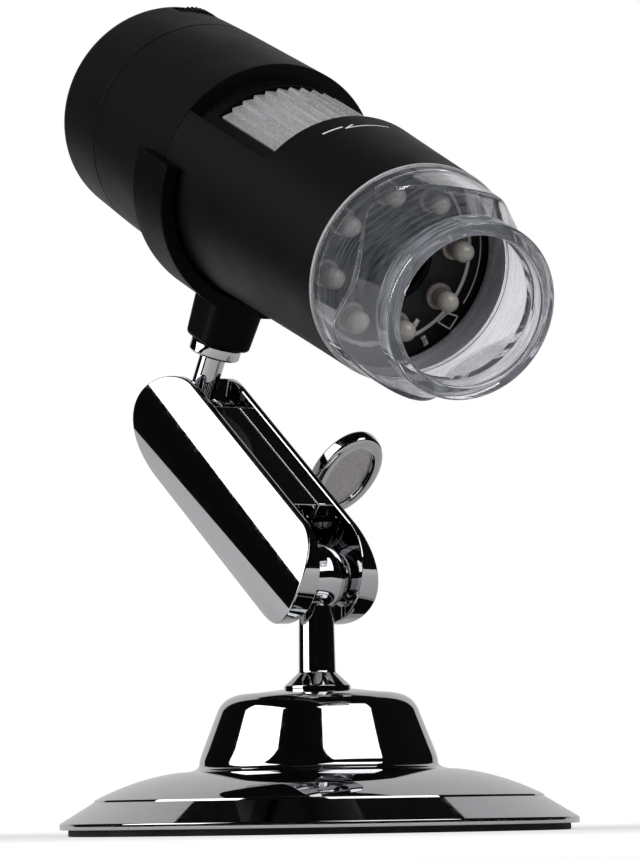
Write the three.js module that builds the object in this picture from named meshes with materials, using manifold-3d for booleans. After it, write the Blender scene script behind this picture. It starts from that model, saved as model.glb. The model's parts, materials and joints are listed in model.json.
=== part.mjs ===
// A handheld usb digital microscope on its metal table stand.
// Millimetres, +Z up. The origin is the centre of the base pad's underside.
// The arm swings in the XZ plane, and the camera tube points towards +X and down.

import * as THREE from 'three';
import { mergeVertices } from 'three/addons/utils/BufferGeometryUtils.js';
import Module from 'manifold-3d';

const wasm = await Module();
wasm.setup();

// Clearances shared by every piece
const gap = 0.3;
const overrun = 1;

// Facets round a full turn
const facets = { large: 36, medium: 20, small: 14, tiny: 8 };
const curveSteps = 3;
const ballSteps = 5;
const lampSteps = 2;
const cornerSteps = 2;
const shoulderSteps = 3;

// Posture of the photographed object, in degrees
const posture = { armLean: 51.5, stemTilt: 23.4, stemSideLean: 4.9, cradleSwivel: 8.4, knobTurn: 5.5 };

// Weighted round foot, heights above the table
const base = {
  rimRadius: 39.3,
  padRadius: 38,
  padThickness: 0.7,
  rimHeight: 0.9,
  edgeRadius: 33.95,
  edgeHeight: 5.4,
  slopeRadius: 21.2,
  slopeHeight: 9.4,
  slopeBulge: 1.25,
  domeFootRadius: 18.05,
  domeFootHeight: 11.3,
  domeShoulderRadius: 15.2,
  domeShoulderHeight: 18.5,
  domeTopRadius: 10.3,
  domeTopHeight: 21.15,
  crownHeight: 21.75,
  wall: 1.6,
  shoulderInset: 1.1,
  plinthRise: 0.6,
};

// Steel slug and its screw inside the foot
const slug = { hubRadius: 12.4, hubTop: 16.4 };
const footScrew = { shankRadius: 1.75, headRadius: 3.9, headHeight: 2.6, engagement: 4.2 };

// Lower ball stud, standing on the foot
const lowerStud = {
  flangeRadius: 5.05,
  flangeHeight: 2.25,
  postFootRadius: 2.8,
  postTopRadius: 2.65,
  spigotRadius: 3,
  ballHeight: 38.74,
};

const ballRadius = 5.15;

// Clamp arm: two crowned plates that grip both balls
const arm = {
  ballSpacing: 41.3,
  endRadius: 8.66,
  endInset: 2.53,
  halfSlot: 3.93,
  rimThickness: 1.03,
  crown: 2.6,
  blockReach: 7.5,
  blockRecess: 0.35,
  splitOffset: 1.2,
  screwPlace: 20.65,
  skin: 1.4,
};

// Clamping screw with its thumb piece
const clamp = {
  screwRadius: 1.7,
  washerRadius: 4,
  washerThickness: 0.8,
  spotfaceDepth: 0.87,
  hubRadius: 3,
  neckRadius: 2.1,
  hubLength: 3.4,
  engagement: 2.3,
  paddleRise: 14.7,
  paddleOffset: 5.8,
  paddleLength: 11.5,
  paddleWidth: 15.6,
  paddleThickness: 2.4,
  paddleBevel: 0.4,
  rimWidth: 1.9,
  recessDepth: 0.45,
};

// Upper ball stud and the cradle that it carries
const upperStud = { neckRadius: 2.08, neckLength: 11.9, threadRadius: 1.6 };
const collar = { radius: 4.05, height: 1.2, lip: 0.3 };
const cradle = {
  tubeOffset: 0.52,
  bandOffset: 1.27,
  width: 11.1,
  bandThickness: 2.1,
  bossWidth: 8.8,
  bossLength: 8.6,
  bossCorner: 2.4,
  bossTaper: 0.08,
  bossBevel: 0.8,
  insertRadius: 2.6,
  insertWall: 0.7,
  insertLength: 7,
  socketRoof: 0.9,
};

// Camera tube, measured along its axis from the seam between its two barrels.
// A drop is how far a radius falls short of the one at the seam
const tube = {
  wall: 2.1,
  rearEnd: -42.4,
  rearDrop: 0.95,
  capSeam: -27,
  capDrop: 0.45,
  windowEnd: 27,
  windowHalfAngle: 64,
  waistPlace: 22,
  waistDrop: 1.1,
  noseEnd: 51.3,
  noseDrop: 1.7,
  lip: 3.8,
  lipWall: 1.2,
  capRound: 2.6,
  rearWall: 2,
};

// Brightness wheel that looks out of the rear cap
const dial = {
  proud: 0.55,
  glandSpace: 0.5,
  thickness: 3,
  teeth: 52,
  toothDepth: 0.3,
  axleRadius: 1.6,
  setback: 4,
  potInset: 2.7,
  potThickness: 1.6,
};

const gland = {
  boreRadius: 1.9,
  bodyRadius: 3.4,
  flangeRadius: 5,
  flangeThickness: 1.5,
  innerThickness: 1.2,
};

// Circuit boards and the sensor
const board = { thickness: 1.4, sensorPlace: -16, chipSide: 7.4, chipHeight: 1.3 };

// Fixed optics tube, sliding lens cell and ribbed focus ring
const optics = {
  wall: 1.4,
  flangePlace: -12.6,
  flangeThickness: 2,
  frontEnd: 24,
  filterPlace: -8,
  filterThickness: 1,
  screwRadius: 1.1,
  screwHeadRadius: 1.9,
  screwHeadHeight: 1.2,
  screwCount: 3,
  screwInset: 2.7,
};
const cell = {
  rear: 1,
  front: 19,
  wall: 1.7,
  seatDepth: 3.6,
  lensRadius: 6.9,
  lensWall: 2.1,
  lensRim: 1,
  lensBulge: 0.8,
  retainerWidth: 1.3,
  retainerThickness: 0.7,
  pinPlace: 14,
  pinRadius: 1.2,
  pinSpace: 0.7,
  travel: 5,
};
const ring = { rear: 4.8, front: 26.4, ribs: 50, ribHeight: 0.5, wall: 2, webThickness: 2.2, webDepth: 2.6 };

// Light ring behind the clear nose
const lamp = {
  boardPlace: 42.4,
  holeSpace: 3.4,
  rimSpace: 3.05,
  count: 8,
  radius: 1.5,
  flangeRadius: 1.9,
  flangeHeight: 0.8,
  height: 5.3,
};
const baffle = { rear: 26.8, rearRadius: 9.9, wall: 0.8, spigot: 2 };

// Clear nose with its scalloped shoulder, whose drops are from the skirt's radius
const shroud = {
  spigotRear: 46.6,
  spigotWall: 1.3,
  skirtStep: 0.4,
  skirtWall: 1.9,
  shoulderPlace: 60.5,
  shoulderDrop: 0.3,
  waveStart: 54.5,
  waveEnd: 66.5,
  waveDepth: 3.3,
  lobes: 4,
  throatDrop: 3.6,
  collarPlace: 66.8,
  collarDrop: 2.95,
  collarWall: 2.15,
  tip: 70.7,
  edgeRound: 0.5,
};

// Finishes
const chrome = finish(0xc9cacb, 0.06, 1);
const satinChrome = finish(0xa9a6a8, 0.45, 0.9);
const blackShell = finish(0x1b1b1c, 0.55, 0);
const blackPlastic = finish(0x121213, 0.6, 0);
const rubber = finish(0x101011, 0.9, 0);
const steel = finish(0x8b8d90, 0.4, 0.9);
const brass = finish(0xb59a54, 0.35, 1);
const greenBoard = finish(0x1f4a2c, 0.5, 0);
const blackBoard = finish(0x0c0c0d, 0.5, 0);
const smokedRing = finish(0x9a9c9e, 0.35, 0);
const clearPlastic = finish(0xe8eef0, 0.05, 0, 0.3);
const lensGlass = finish(0xdfe9ef, 0.02, 0, 0.35);
const milkyLamp = finish(0xd8d6cc, 0.3, 0);

function finish(color, roughness, metalness, opacity = 1) {
  return new THREE.MeshStandardMaterial({ color, roughness, metalness, opacity, transparent: opacity < 1 });
}

// Solids: closed meshes in and out of the boolean library

function positionsOnly(geometry) {
  const bare = geometry.clone();
  bare.deleteAttribute('normal');
  bare.deleteAttribute('uv');
  return mergeVertices(bare);
}

function signedVolume(geometry) {
  const at = geometry.getAttribute('position');
  const index = geometry.index.array;
  const corners = [new THREE.Vector3(), new THREE.Vector3(), new THREE.Vector3()];
  let sum = 0;
  for (let i = 0; i < index.length; i += 3) {
    corners.forEach((corner, k) => corner.fromBufferAttribute(at, index[i + k]));
    sum += corners[0].dot(corners[1].clone().cross(corners[2]));
  }
  return sum;
}

function solid(geometry) {
  const bare = positionsOnly(geometry);
  const triangles = Uint32Array.from(bare.index.array);
  if (signedVolume(bare) < 0) {
    for (let i = 0; i < triangles.length; i += 3) {
      [triangles[i], triangles[i + 1]] = [triangles[i + 1], triangles[i]];
    }
  }
  const vertProperties = Float32Array.from(bare.getAttribute('position').array);
  const mesh = new wasm.Mesh({ numProp: 3, vertProperties, triVerts: triangles });
  mesh.merge();
  return new wasm.Manifold(mesh);
}

function geometryOf(manifold) {
  const mesh = manifold.getMesh();
  const geometry = new THREE.BufferGeometry();
  geometry.setAttribute('position', new THREE.BufferAttribute(Float32Array.from(mesh.vertProperties), 3));
  geometry.setIndex(Array.from(mesh.triVerts));
  geometry.computeVertexNormals();
  return geometry;
}

function place(group, name, shape, material) {
  const mesh = new THREE.Mesh(geometryOf(shape), material);
  mesh.name = name;
  group.add(mesh);
}

function placeEach(group, name, shapes, material) {
  shapes.forEach((shape, i) => place(group, `${name}_${i + 1}`, shape, material));
}

function unite(shapes) {
  return shapes.reduce((whole, shape) => whole.add(shape));
}

// Shape makers

// An extruded arc gets two edges for each step
const halfTurnSteps = facets.large / 4;
const fullTurnSteps = facets.large / 2;
const paddleSteps = facets.medium / 2;

function outline(draw, steps = curveSteps) {
  const path = new THREE.Path();
  draw(path);
  return path.getPoints(steps);
}

// A closed profile of (radius, height) points, revolved about +Z
function turned(points, count) {
  const first = points[0];
  const closed = points.concat([first.clone()]);
  const geometry = new THREE.LatheGeometry(closed, count);
  geometry.rotateX(Math.PI / 2);
  return geometry;
}

function revolvedUp(pairs, count) {
  const points = pairs.map(([radius, height]) => new THREE.Vector2(radius, height));
  return solid(dropAxisSpan(turned(points, count)));
}

// The same along +X, for the pieces of the camera tube: pairs are (place, radius)
function revolvedAlong(pairs, count) {
  const points = pairs.map(([along, radius]) => new THREE.Vector2(radius, along));
  const geometry = turned(points, count);
  geometry.rotateY(Math.PI / 2);
  return solid(dropAxisSpan(geometry));
}

// Leaves out the flat triangles that lie on the axis of a revolved profile
function dropAxisSpan(geometry) {
  const bare = positionsOnly(geometry);
  const index = bare.index.array;
  const kept = [];
  for (let i = 0; i < index.length; i += 3) {
    const [a, b, c] = [index[i], index[i + 1], index[i + 2]];
    if (a !== b && b !== c && c !== a) kept.push(a, b, c);
  }
  bare.setIndex(kept);
  return bare;
}

function discAlong(from, to, radius, count) {
  return revolvedAlong([[from, 0], [from, radius], [to, radius], [to, 0]], count);
}

function sleeveAlong(from, to, inner, outer, count) {
  return revolvedAlong([[from, inner], [from, outer], [to, outer], [to, inner]], count);
}

function sphere(radius, count) {
  return solid(new THREE.SphereGeometry(radius, count, count / 2));
}

// An outline drawn in (X, Z), thickened from one Y to another
function plate(shape, fromY, toY) {
  const options = { depth: toY - fromY, bevelEnabled: false, curveSegments: halfTurnSteps };
  const geometry = new THREE.ExtrudeGeometry(shape, options);
  geometry.rotateX(Math.PI / 2);
  geometry.translate(0, toY, 0);
  return solid(geometry);
}

// An outline drawn in (Y, Z), thickened along +X
function slice(shape, fromX, toX, curveSegments = halfTurnSteps) {
  const options = { depth: toX - fromX, bevelEnabled: false, curveSegments };
  const geometry = new THREE.ExtrudeGeometry(shape, options);
  geometry.rotateZ(Math.PI / 2);
  geometry.rotateY(Math.PI / 2);
  geometry.translate(fromX, 0, 0);
  return solid(geometry);
}

function box(width, depth, height, x, y, z) {
  return solid(new THREE.BoxGeometry(width, depth, height).translate(x, y, z));
}

function stadium(radius, from, to) {
  const shape = new THREE.Shape();
  shape.absarc(0, from, radius, Math.PI, 0, false);
  shape.absarc(0, to, radius, 0, Math.PI, false);
  shape.closePath();
  return shape;
}

function roundedRectangle(width, height, corner) {
  const shape = new THREE.Shape();
  const x = width / 2 - corner;
  const y = height / 2 - corner;
  shape.absarc(x, -y, corner, -Math.PI / 2, 0, false);
  shape.absarc(x, y, corner, 0, Math.PI / 2, false);
  shape.absarc(-x, y, corner, Math.PI / 2, Math.PI, false);
  shape.absarc(-x, -y, corner, Math.PI, (3 * Math.PI) / 2, false);
  shape.closePath();
  return shape;
}

// Radii of the tube's nested pieces, from the lens outwards

const cellOuter = cell.lensRadius + gap + cell.lensWall;
const opticsInner = cellOuter + gap;
const opticsRadius = opticsInner + optics.wall;
const ringBore = opticsRadius + ring.webDepth;
const ringTip = ringBore + ring.wall + ring.ribHeight;
const barrelInner = ringTip + gap;
const tubeRadius = barrelInner + tube.wall;

// Foot

const padTop = base.padThickness;
const shellBottom = padTop + gap;
const cavityRadius = base.edgeRadius - base.wall;
const cavityTop = base.edgeHeight - base.wall / 2;
const domeCavityRadius = slug.hubRadius + gap;
const domeCavityTop = slug.hubTop + gap;
const stemHoleRadius = lowerStud.spigotRadius + gap;

function footShell() {
  const profile = outline((path) => {
    path.moveTo(cavityRadius, shellBottom);
    path.lineTo(base.rimRadius, shellBottom);
    path.lineTo(base.rimRadius, shellBottom + base.rimHeight);
    path.lineTo(base.edgeRadius, base.edgeHeight);
    const middleRadius = (base.edgeRadius + base.slopeRadius) / 2;
    const middleHeight = (base.edgeHeight + base.slopeHeight) / 2 + base.slopeBulge;
    path.quadraticCurveTo(middleRadius, middleHeight, base.slopeRadius, base.slopeHeight);
    path.quadraticCurveTo(base.domeFootRadius, base.slopeHeight, base.domeFootRadius, base.domeFootHeight);
    path.lineTo(base.domeShoulderRadius, base.domeShoulderHeight);
    const shoulderRadius = base.domeShoulderRadius - base.shoulderInset;
    path.quadraticCurveTo(shoulderRadius, base.domeTopHeight, base.domeTopRadius, base.domeTopHeight);
    path.lineTo(lowerStud.flangeRadius, base.crownHeight);
    path.lineTo(stemHoleRadius, base.crownHeight);
    path.lineTo(stemHoleRadius, domeCavityTop);
    path.lineTo(domeCavityRadius, domeCavityTop);
    path.lineTo(domeCavityRadius, cavityTop);
    path.lineTo(cavityRadius, cavityTop);
  });
  return solid(turned(profile, facets.large));
}

function footPad() {
  const plinthRadius = cavityRadius - gap;
  return revolvedUp([
    [0, 0],
    [base.padRadius, 0],
    [base.padRadius, padTop],
    [plinthRadius, padTop],
    [plinthRadius, padTop + base.plinthRise],
    [0, padTop + base.plinthRise],
  ], facets.large);
}

const slugBottom = padTop + base.plinthRise + gap;

function footSlug() {
  const seat = slugBottom + footScrew.headHeight + gap;
  const bore = footScrew.shankRadius + gap;
  const seatRadius = footScrew.headRadius + gap;
  return revolvedUp([
    [bore, seat],
    [seatRadius, seat],
    [seatRadius, slugBottom],
    [cavityRadius - gap, slugBottom],
    [cavityRadius - gap, cavityTop - gap],
    [slug.hubRadius, cavityTop - gap],
    [slug.hubRadius, slug.hubTop],
    [bore, slug.hubTop],
  ], facets.medium);
}

const spigotBottom = domeCavityTop;

function footScrewBody() {
  const shankTop = spigotBottom + footScrew.engagement;
  return revolvedUp([
    [0, slugBottom],
    [footScrew.headRadius, slugBottom],
    [footScrew.headRadius, slugBottom + footScrew.headHeight],
    [footScrew.shankRadius, slugBottom + footScrew.headHeight],
    [footScrew.shankRadius, shankTop],
    [0, shankTop],
  ], facets.small);
}

// Ball studs, both with the ball centre at the origin

function ballArc(path, neckRadius, upwards) {
  const start = Math.asin(neckRadius / ballRadius);
  if (upwards) path.absarc(0, 0, ballRadius, start - Math.PI / 2, Math.PI / 2, false);
  else path.absarc(0, 0, ballRadius, -Math.PI / 2, Math.PI / 2 - start, false);
}

function studProfile(draw) {
  return solid(dropAxisSpan(turned(outline(draw, ballSteps), facets.medium)));
}

function lowerBallStud() {
  const flangeBottom = base.crownHeight + gap - lowerStud.ballHeight;
  const spigotEnd = spigotBottom - lowerStud.ballHeight;
  const boreRadius = footScrew.shankRadius + gap;
  const boreTop = spigotEnd + footScrew.engagement + gap;
  return studProfile((path) => {
    path.moveTo(0, boreTop);
    path.lineTo(boreRadius, boreTop);
    path.lineTo(boreRadius, spigotEnd);
    path.lineTo(lowerStud.spigotRadius, spigotEnd);
    path.lineTo(lowerStud.spigotRadius, flangeBottom);
    path.lineTo(lowerStud.flangeRadius, flangeBottom);
    path.lineTo(lowerStud.postFootRadius, flangeBottom + lowerStud.flangeHeight);
    ballArc(path, lowerStud.postTopRadius, true);
  });
}

function upperBallStud() {
  const threadTop = upperStud.neckLength + collar.height + cradle.insertLength;
  return studProfile((path) => {
    path.moveTo(0, threadTop);
    path.lineTo(upperStud.threadRadius, threadTop);
    path.lineTo(upperStud.threadRadius, upperStud.neckLength);
    path.lineTo(upperStud.neckRadius, upperStud.neckLength);
    const start = Math.asin(upperStud.neckRadius / ballRadius);
    path.absarc(0, 0, ballRadius, Math.PI / 2 - start, -Math.PI / 2, true);
  });
}

// Clamp arm, with the lower ball at the origin and the upper one up +Z

const rimPlane = arm.halfSlot;
const creasePlane = rimPlane + arm.rimThickness;
const facePlane = creasePlane + arm.crown;
const splitFront = arm.splitOffset - gap / 2;
const splitRear = arm.splitOffset + gap / 2;
const washerSeat = facePlane - clamp.spotfaceDepth;

// Plate that lies at -Y, before the rear one is mirrored: a long crown across its width
function armPlate() {
  const sideOn = stadium(arm.endRadius, arm.endInset, arm.ballSpacing - arm.endInset);
  const blank = plate(sideOn, -facePlane, -rimPlane);
  const crownRadius = (arm.endRadius ** 2 + arm.crown ** 2) / (2 * arm.crown);
  const length = arm.ballSpacing + 2 * arm.endRadius;
  const crownBar = new THREE.CylinderGeometry(crownRadius, crownRadius, length, 2 * facets.large, 1);
  crownBar.rotateX(Math.PI / 2);
  crownBar.translate(0, crownRadius - facePlane, arm.ballSpacing / 2);
  return blank.intersect(solid(crownBar));
}

function armBlock(fromY, toY) {
  const width = 2 * (arm.endRadius - arm.blockRecess);
  const height = arm.ballSpacing - 2 * arm.blockReach;
  return box(width, toY - fromY, height, 0, (fromY + toY) / 2, arm.ballSpacing / 2);
}

function ballSockets() {
  const hollow = sphere(ballRadius + gap, facets.medium);
  return hollow.add(hollow.translate([0, 0, arm.ballSpacing]));
}

// A round bar along Y at the clamping screw
function crossBar(radius, fromY, toY, count = facets.small) {
  const bar = new THREE.CylinderGeometry(radius, radius, toY - fromY, count, 1);
  bar.translate(0, (fromY + toY) / 2, arm.screwPlace);
  return solid(bar);
}

function armFrontShell() {
  const hole = crossBar(clamp.screwRadius + gap, arm.skin - facePlane, splitFront + overrun);
  return armPlate().add(armBlock(-rimPlane - arm.skin, splitFront)).subtract(ballSockets()).subtract(hole);
}

function armRearShell() {
  const turnedPlate = armPlate().mirror([0, 1, 0]);
  const hole = crossBar(clamp.screwRadius + gap, splitRear - overrun, facePlane + overrun);
  const spotface = crossBar(clamp.washerRadius + gap, washerSeat, facePlane + overrun, facets.medium);
  const body = turnedPlate.add(armBlock(splitRear, rimPlane + arm.skin));
  return body.subtract(ballSockets()).subtract(hole).subtract(spotface);
}

// Clamping screw pieces

const washerBottom = washerSeat + gap;
const washerTop = washerBottom + clamp.washerThickness;
const hubBottom = washerTop + gap;
const hubTop = hubBottom + clamp.hubLength;
const screwTip = arm.skin - facePlane + gap;

function clampWasher() {
  const disc = crossBar(clamp.washerRadius, washerBottom, washerTop, facets.medium);
  return disc.subtract(crossBar(clamp.screwRadius + gap, washerBottom - overrun, washerTop + overrun));
}

const boreEnd = hubBottom + clamp.engagement + gap;

function clampScrew() {
  return crossBar(clamp.screwRadius, screwTip, hubBottom + clamp.engagement);
}

// An oval thumb piece that stands off to one side of its hub, with the screw's axis along +Y
function paddleOval(inset) {
  const shape = new THREE.Shape();
  const width = clamp.paddleWidth / 2 - inset;
  const length = clamp.paddleLength / 2 - inset;
  shape.absellipse(clamp.paddleOffset, clamp.paddleRise, width, length, 0, 2 * Math.PI, false, 0);
  return shape;
}

function wingKnob() {
  const flat = clamp.paddleThickness - 2 * clamp.paddleBevel;
  const blank = new THREE.ExtrudeGeometry(paddleOval(clamp.paddleBevel), {
    depth: flat,
    bevelThickness: clamp.paddleBevel,
    bevelSize: clamp.paddleBevel,
    bevelSegments: 1,
    curveSegments: paddleSteps,
  });
  blank.translate(0, 0, -flat / 2);
  const recess = new THREE.ExtrudeGeometry(paddleOval(clamp.rimWidth), {
    depth: clamp.recessDepth + overrun,
    bevelEnabled: false,
    curveSegments: paddleSteps,
  });
  const floor = clamp.paddleThickness / 2 - clamp.recessDepth;
  const upperRecess = solid(recess.clone().translate(0, 0, floor));
  const lowerRecess = solid(recess.clone().translate(0, 0, -floor - clamp.recessDepth - overrun));
  const paddle = solid(blank).subtract(upperRecess).subtract(lowerRecess);
  const hub = barUp(clamp.hubRadius, clamp.hubRadius, hubBottom, hubTop);
  const neck = barUp(clamp.hubRadius, clamp.neckRadius, hubTop, hubTop + clamp.rimWidth);
  const bore = barUp(clamp.screwRadius + gap, clamp.screwRadius + gap, hubBottom - overrun, boreEnd);
  return unite([paddle, hub, neck]).subtract(bore);
}

// A round bar along +Y about the screw's axis, from one radius to another
function barUp(fromRadius, toRadius, from, to) {
  const bar = new THREE.CylinderGeometry(toRadius, fromRadius, to - from, facets.small, 1);
  bar.translate(0, (from + to) / 2, 0);
  return solid(bar);
}

// Cradle, with the tube's axis along +X through the origin and the stem below it

const bandInner = tubeRadius + gap;
const bandOuter = bandInner + cradle.bandThickness;
const socketDepth = cradle.insertLength + 2 * gap;
const bossBottom = -(bandInner + cradle.socketRoof + socketDepth);
const stemReach = upperStud.neckLength + collar.height + gap - bossBottom;

function cradleClip() {
  const band = new THREE.Shape();
  band.absarc(0, 0, bandOuter, Math.PI, 2 * Math.PI, false);
  band.absarc(0, 0, bandInner, 2 * Math.PI, Math.PI, true);
  band.closePath();
  const ringHalf = slice(band, cradle.bandOffset - cradle.width / 2, cradle.bandOffset + cradle.width / 2);
  const bossTop = -tubeRadius;
  const section = roundedRectangle(cradle.bossWidth, cradle.bossLength, cradle.bossCorner);
  const bevel = cradle.bossBevel;
  const post = new THREE.ExtrudeGeometry(section, {
    depth: bossTop - bossBottom - 2 * bevel,
    bevelThickness: bevel,
    bevelSize: bevel,
    bevelOffset: -bevel,
    bevelSegments: 2,
    curveSegments: cornerSteps,
  });
  post.translate(0, 0, bossBottom + bevel);
  flare(post, bossBottom, bossTop, cradle.bossTaper);
  const tubeSpace = discAlong(-cradle.bossWidth, cradle.bossWidth, bandInner, facets.large);
  const insertHole = cradle.insertRadius + gap;
  const insertTop = bossBottom + socketDepth;
  const socket = revolvedUp([
    [0, bossBottom - overrun],
    [insertHole, bossBottom - overrun],
    [insertHole, insertTop],
    [0, insertTop],
  ], facets.small);
  return ringHalf.add(solid(post)).subtract(tubeSpace).subtract(socket);
}

// Widens a shape evenly from one height to another
function flare(geometry, from, to, share) {
  const at = geometry.getAttribute('position');
  for (let i = 0; i < at.count; i += 1) {
    const scale = 1 + (share * (at.getZ(i) - from)) / (to - from);
    at.setXY(i, at.getX(i) * scale, at.getY(i) * scale);
  }
}

function cradleInsert() {
  const bore = cradle.insertRadius - cradle.insertWall;
  const bottom = bossBottom + gap;
  const top = bottom + cradle.insertLength;
  return revolvedUp([
    [bore, bottom],
    [cradle.insertRadius, bottom],
    [cradle.insertRadius, top],
    [bore, top],
  ], facets.small);
}

// The collar sits under the boss, round the stud's neck
function studCollar() {
  const bottom = bossBottom - gap - collar.height;
  const bore = upperStud.neckRadius + gap;
  return revolvedUp([
    [bore, bottom],
    [collar.radius - collar.lip, bottom],
    [collar.radius, bottom + collar.lip],
    [collar.radius, bottom + collar.height],
    [bore, bottom + collar.height],
  ], facets.medium);
}

// Camera tube

const rearRadius = tubeRadius - tube.rearDrop;
const capRadius = tubeRadius - tube.capDrop;
const waistRadius = tubeRadius - tube.waistDrop;
const noseRadius = tubeRadius - tube.noseDrop;
const lipOuter = barrelInner - gap;
const lipInner = lipOuter - tube.lipWall;
const dialPlace = tube.rearEnd + dial.setback;
const dialRadius = (rearRadius + dial.proud - gland.flangeRadius - dial.glandSpace) / 2;
const dialHeight = rearRadius + dial.proud - dialRadius;
const potRadius = dialRadius - dial.potInset;

function rearCap() {
  const seam = tube.capSeam - gap / 2;
  const inside = tube.rearEnd + tube.rearWall;
  const profile = outline((path) => {
    path.moveTo(gland.bodyRadius + gap, tube.rearEnd);
    path.lineTo(rearRadius - tube.capRound, tube.rearEnd);
    path.quadraticCurveTo(rearRadius, tube.rearEnd, rearRadius, tube.rearEnd + tube.capRound);
    path.lineTo(capRadius, seam);
    path.lineTo(lipOuter, seam);
    path.lineTo(lipOuter, seam + tube.lip);
    path.lineTo(lipInner, seam + tube.lip);
    path.lineTo(lipInner, seam - tube.lip);
    path.lineTo(barrelInner, seam - tube.lip);
    path.lineTo(barrelInner, inside);
    path.lineTo(gland.bodyRadius + gap, inside);
  });
  const body = turned(profile, facets.large);
  body.rotateY(Math.PI / 2);
  const half = dial.thickness / 2 + gap;
  const slot = discAlong(dialPlace - half, dialPlace + half, dialRadius + 2 * gap, facets.medium);
  return solid(body).subtract(slot.translate([0, 0, dialHeight]));
}

function cableGland() {
  const outer = tube.rearEnd - gap;
  const inner = tube.rearEnd + tube.rearWall + gap;
  return revolvedAlong([
    [outer - gland.flangeThickness, gland.boreRadius],
    [outer - gland.flangeThickness, gland.flangeRadius - gland.flangeThickness / 2],
    [outer - gland.flangeThickness / 2, gland.flangeRadius],
    [outer, gland.flangeRadius],
    [outer, gland.bodyRadius],
    [inner, gland.bodyRadius],
    [inner, gland.flangeRadius],
    [inner + gland.innerThickness, gland.flangeRadius],
    [inner + gland.innerThickness, gland.boreRadius],
  ], facets.small);
}

// A toothed outline about the origin, each tooth drawn by its shares of turn and rise
function toothed(count, root, tip, flankShares) {
  const shape = new THREE.Shape();
  const step = (2 * Math.PI) / count;
  for (let i = 0; i < count; i += 1) {
    flankShares.forEach(([turn, rise], k) => {
      const angle = (i + turn) * step;
      const radius = root + (tip - root) * rise;
      const draw = i === 0 && k === 0 ? 'moveTo' : 'lineTo';
      shape[draw](radius * Math.cos(angle), radius * Math.sin(angle));
    });
  }
  shape.closePath();
  return shape;
}

const toothShares = [[0, 0], [0.5, 1]];

function ledDial() {
  const half = dial.thickness / 2;
  const root = dialRadius - dial.toothDepth;
  const wheel = slice(toothed(dial.teeth, root, dialRadius, toothShares), -half, half);
  const bore = discAlong(-half - overrun, half + overrun, dial.axleRadius + gap, facets.small);
  return wheel.subtract(bore).translate([dialPlace, 0, dialHeight]);
}

const potFront = dialPlace + dial.thickness / 2 + gap;

function dimmerPot() {
  const body = discAlong(potFront, potFront + dial.potThickness, potRadius, facets.small);
  const axle = discAlong(dialPlace - dial.thickness / 2, potFront + dial.potThickness / 2, dial.axleRadius,
    facets.small);
  return body.add(axle).translate([0, 0, dialHeight]);
}

const dimmerBoardRear = potFront + dial.potThickness + gap;

function dimmerBoard() {
  return discAlong(dimmerBoardRear, dimmerBoardRear + board.thickness, barrelInner - gap, facets.medium);
}

// Rear barrel, whose front lip carries the front barrel
function rearBarrel() {
  const rear = tube.capSeam + gap / 2;
  const front = -gap / 2;
  return revolvedAlong([
    [rear, barrelInner],
    [rear, capRadius],
    [front, tubeRadius],
    [front, lipOuter],
    [tube.lip, lipOuter],
    [tube.lip, lipInner],
    [front - tube.lip, lipInner],
    [front - tube.lip, barrelInner],
  ], facets.large);
}

const boardFront = lamp.boardPlace + board.thickness;
const skirtRadius = noseRadius - shroud.skirtStep;
const noseInner = skirtRadius - shroud.spigotWall - gap / 2;
const spigotOuter = noseInner - gap;
const spigotInner = spigotOuter - shroud.spigotWall;
const lampCircle = spigotInner - lamp.rimSpace;
const boardHole = lampCircle - lamp.holeSpace;

function frontBarrel() {
  const rear = gap / 2;
  const step = boardFront + gap;
  const boardBore = barrelInner - gap;
  const profile = outline((path) => {
    path.moveTo(rear, barrelInner);
    path.lineTo(rear, tubeRadius);
    path.quadraticCurveTo(tube.waistPlace, waistRadius, tube.noseEnd, noseRadius);
    path.lineTo(tube.noseEnd, noseInner);
    path.lineTo(step, noseInner);
    path.lineTo(step, boardBore);
    path.lineTo(ring.front + gap, boardBore);
    path.lineTo(ring.front + gap, barrelInner);
  });
  const flipped = profile.map((point) => new THREE.Vector2(point.y, point.x));
  const body = turned(flipped, facets.large);
  body.rotateY(Math.PI / 2);
  return solid(body).subtract(windowCutter());
}

// Profiles of the tube are drawn as (place, radius) and turned as (radius, place)
function windowCutter() {
  const half = THREE.MathUtils.degToRad(tube.windowHalfAngle);
  const up = Math.PI / 2;
  const shape = new THREE.Shape();
  shape.absarc(0, 0, tubeRadius + overrun, up - half, up + half, false);
  shape.absarc(0, 0, barrelInner - overrun, up + half, up - half, true);
  shape.closePath();
  return slice(shape, -overrun, tube.windowEnd);
}

function sensorBoard() {
  const rear = board.sensorPlace;
  return discAlong(rear, rear + board.thickness, barrelInner - gap, facets.medium);
}

function imageSensor() {
  const rear = board.sensorPlace + board.thickness + gap;
  return box(board.chipHeight, board.chipSide, board.chipSide, rear + board.chipHeight / 2, 0, 0);
}

const screwCircle = barrelInner - gap - optics.screwInset;
const flangeFront = optics.flangePlace + optics.flangeThickness;

// Copies of a shape spread evenly round the tube's axis
function spread(shape, count, startTurn = 0) {
  const copies = [];
  for (let i = 0; i < count; i += 1) copies.push(shape.rotate([startTurn + (360 * i) / count, 0, 0]));
  return copies;
}

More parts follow.
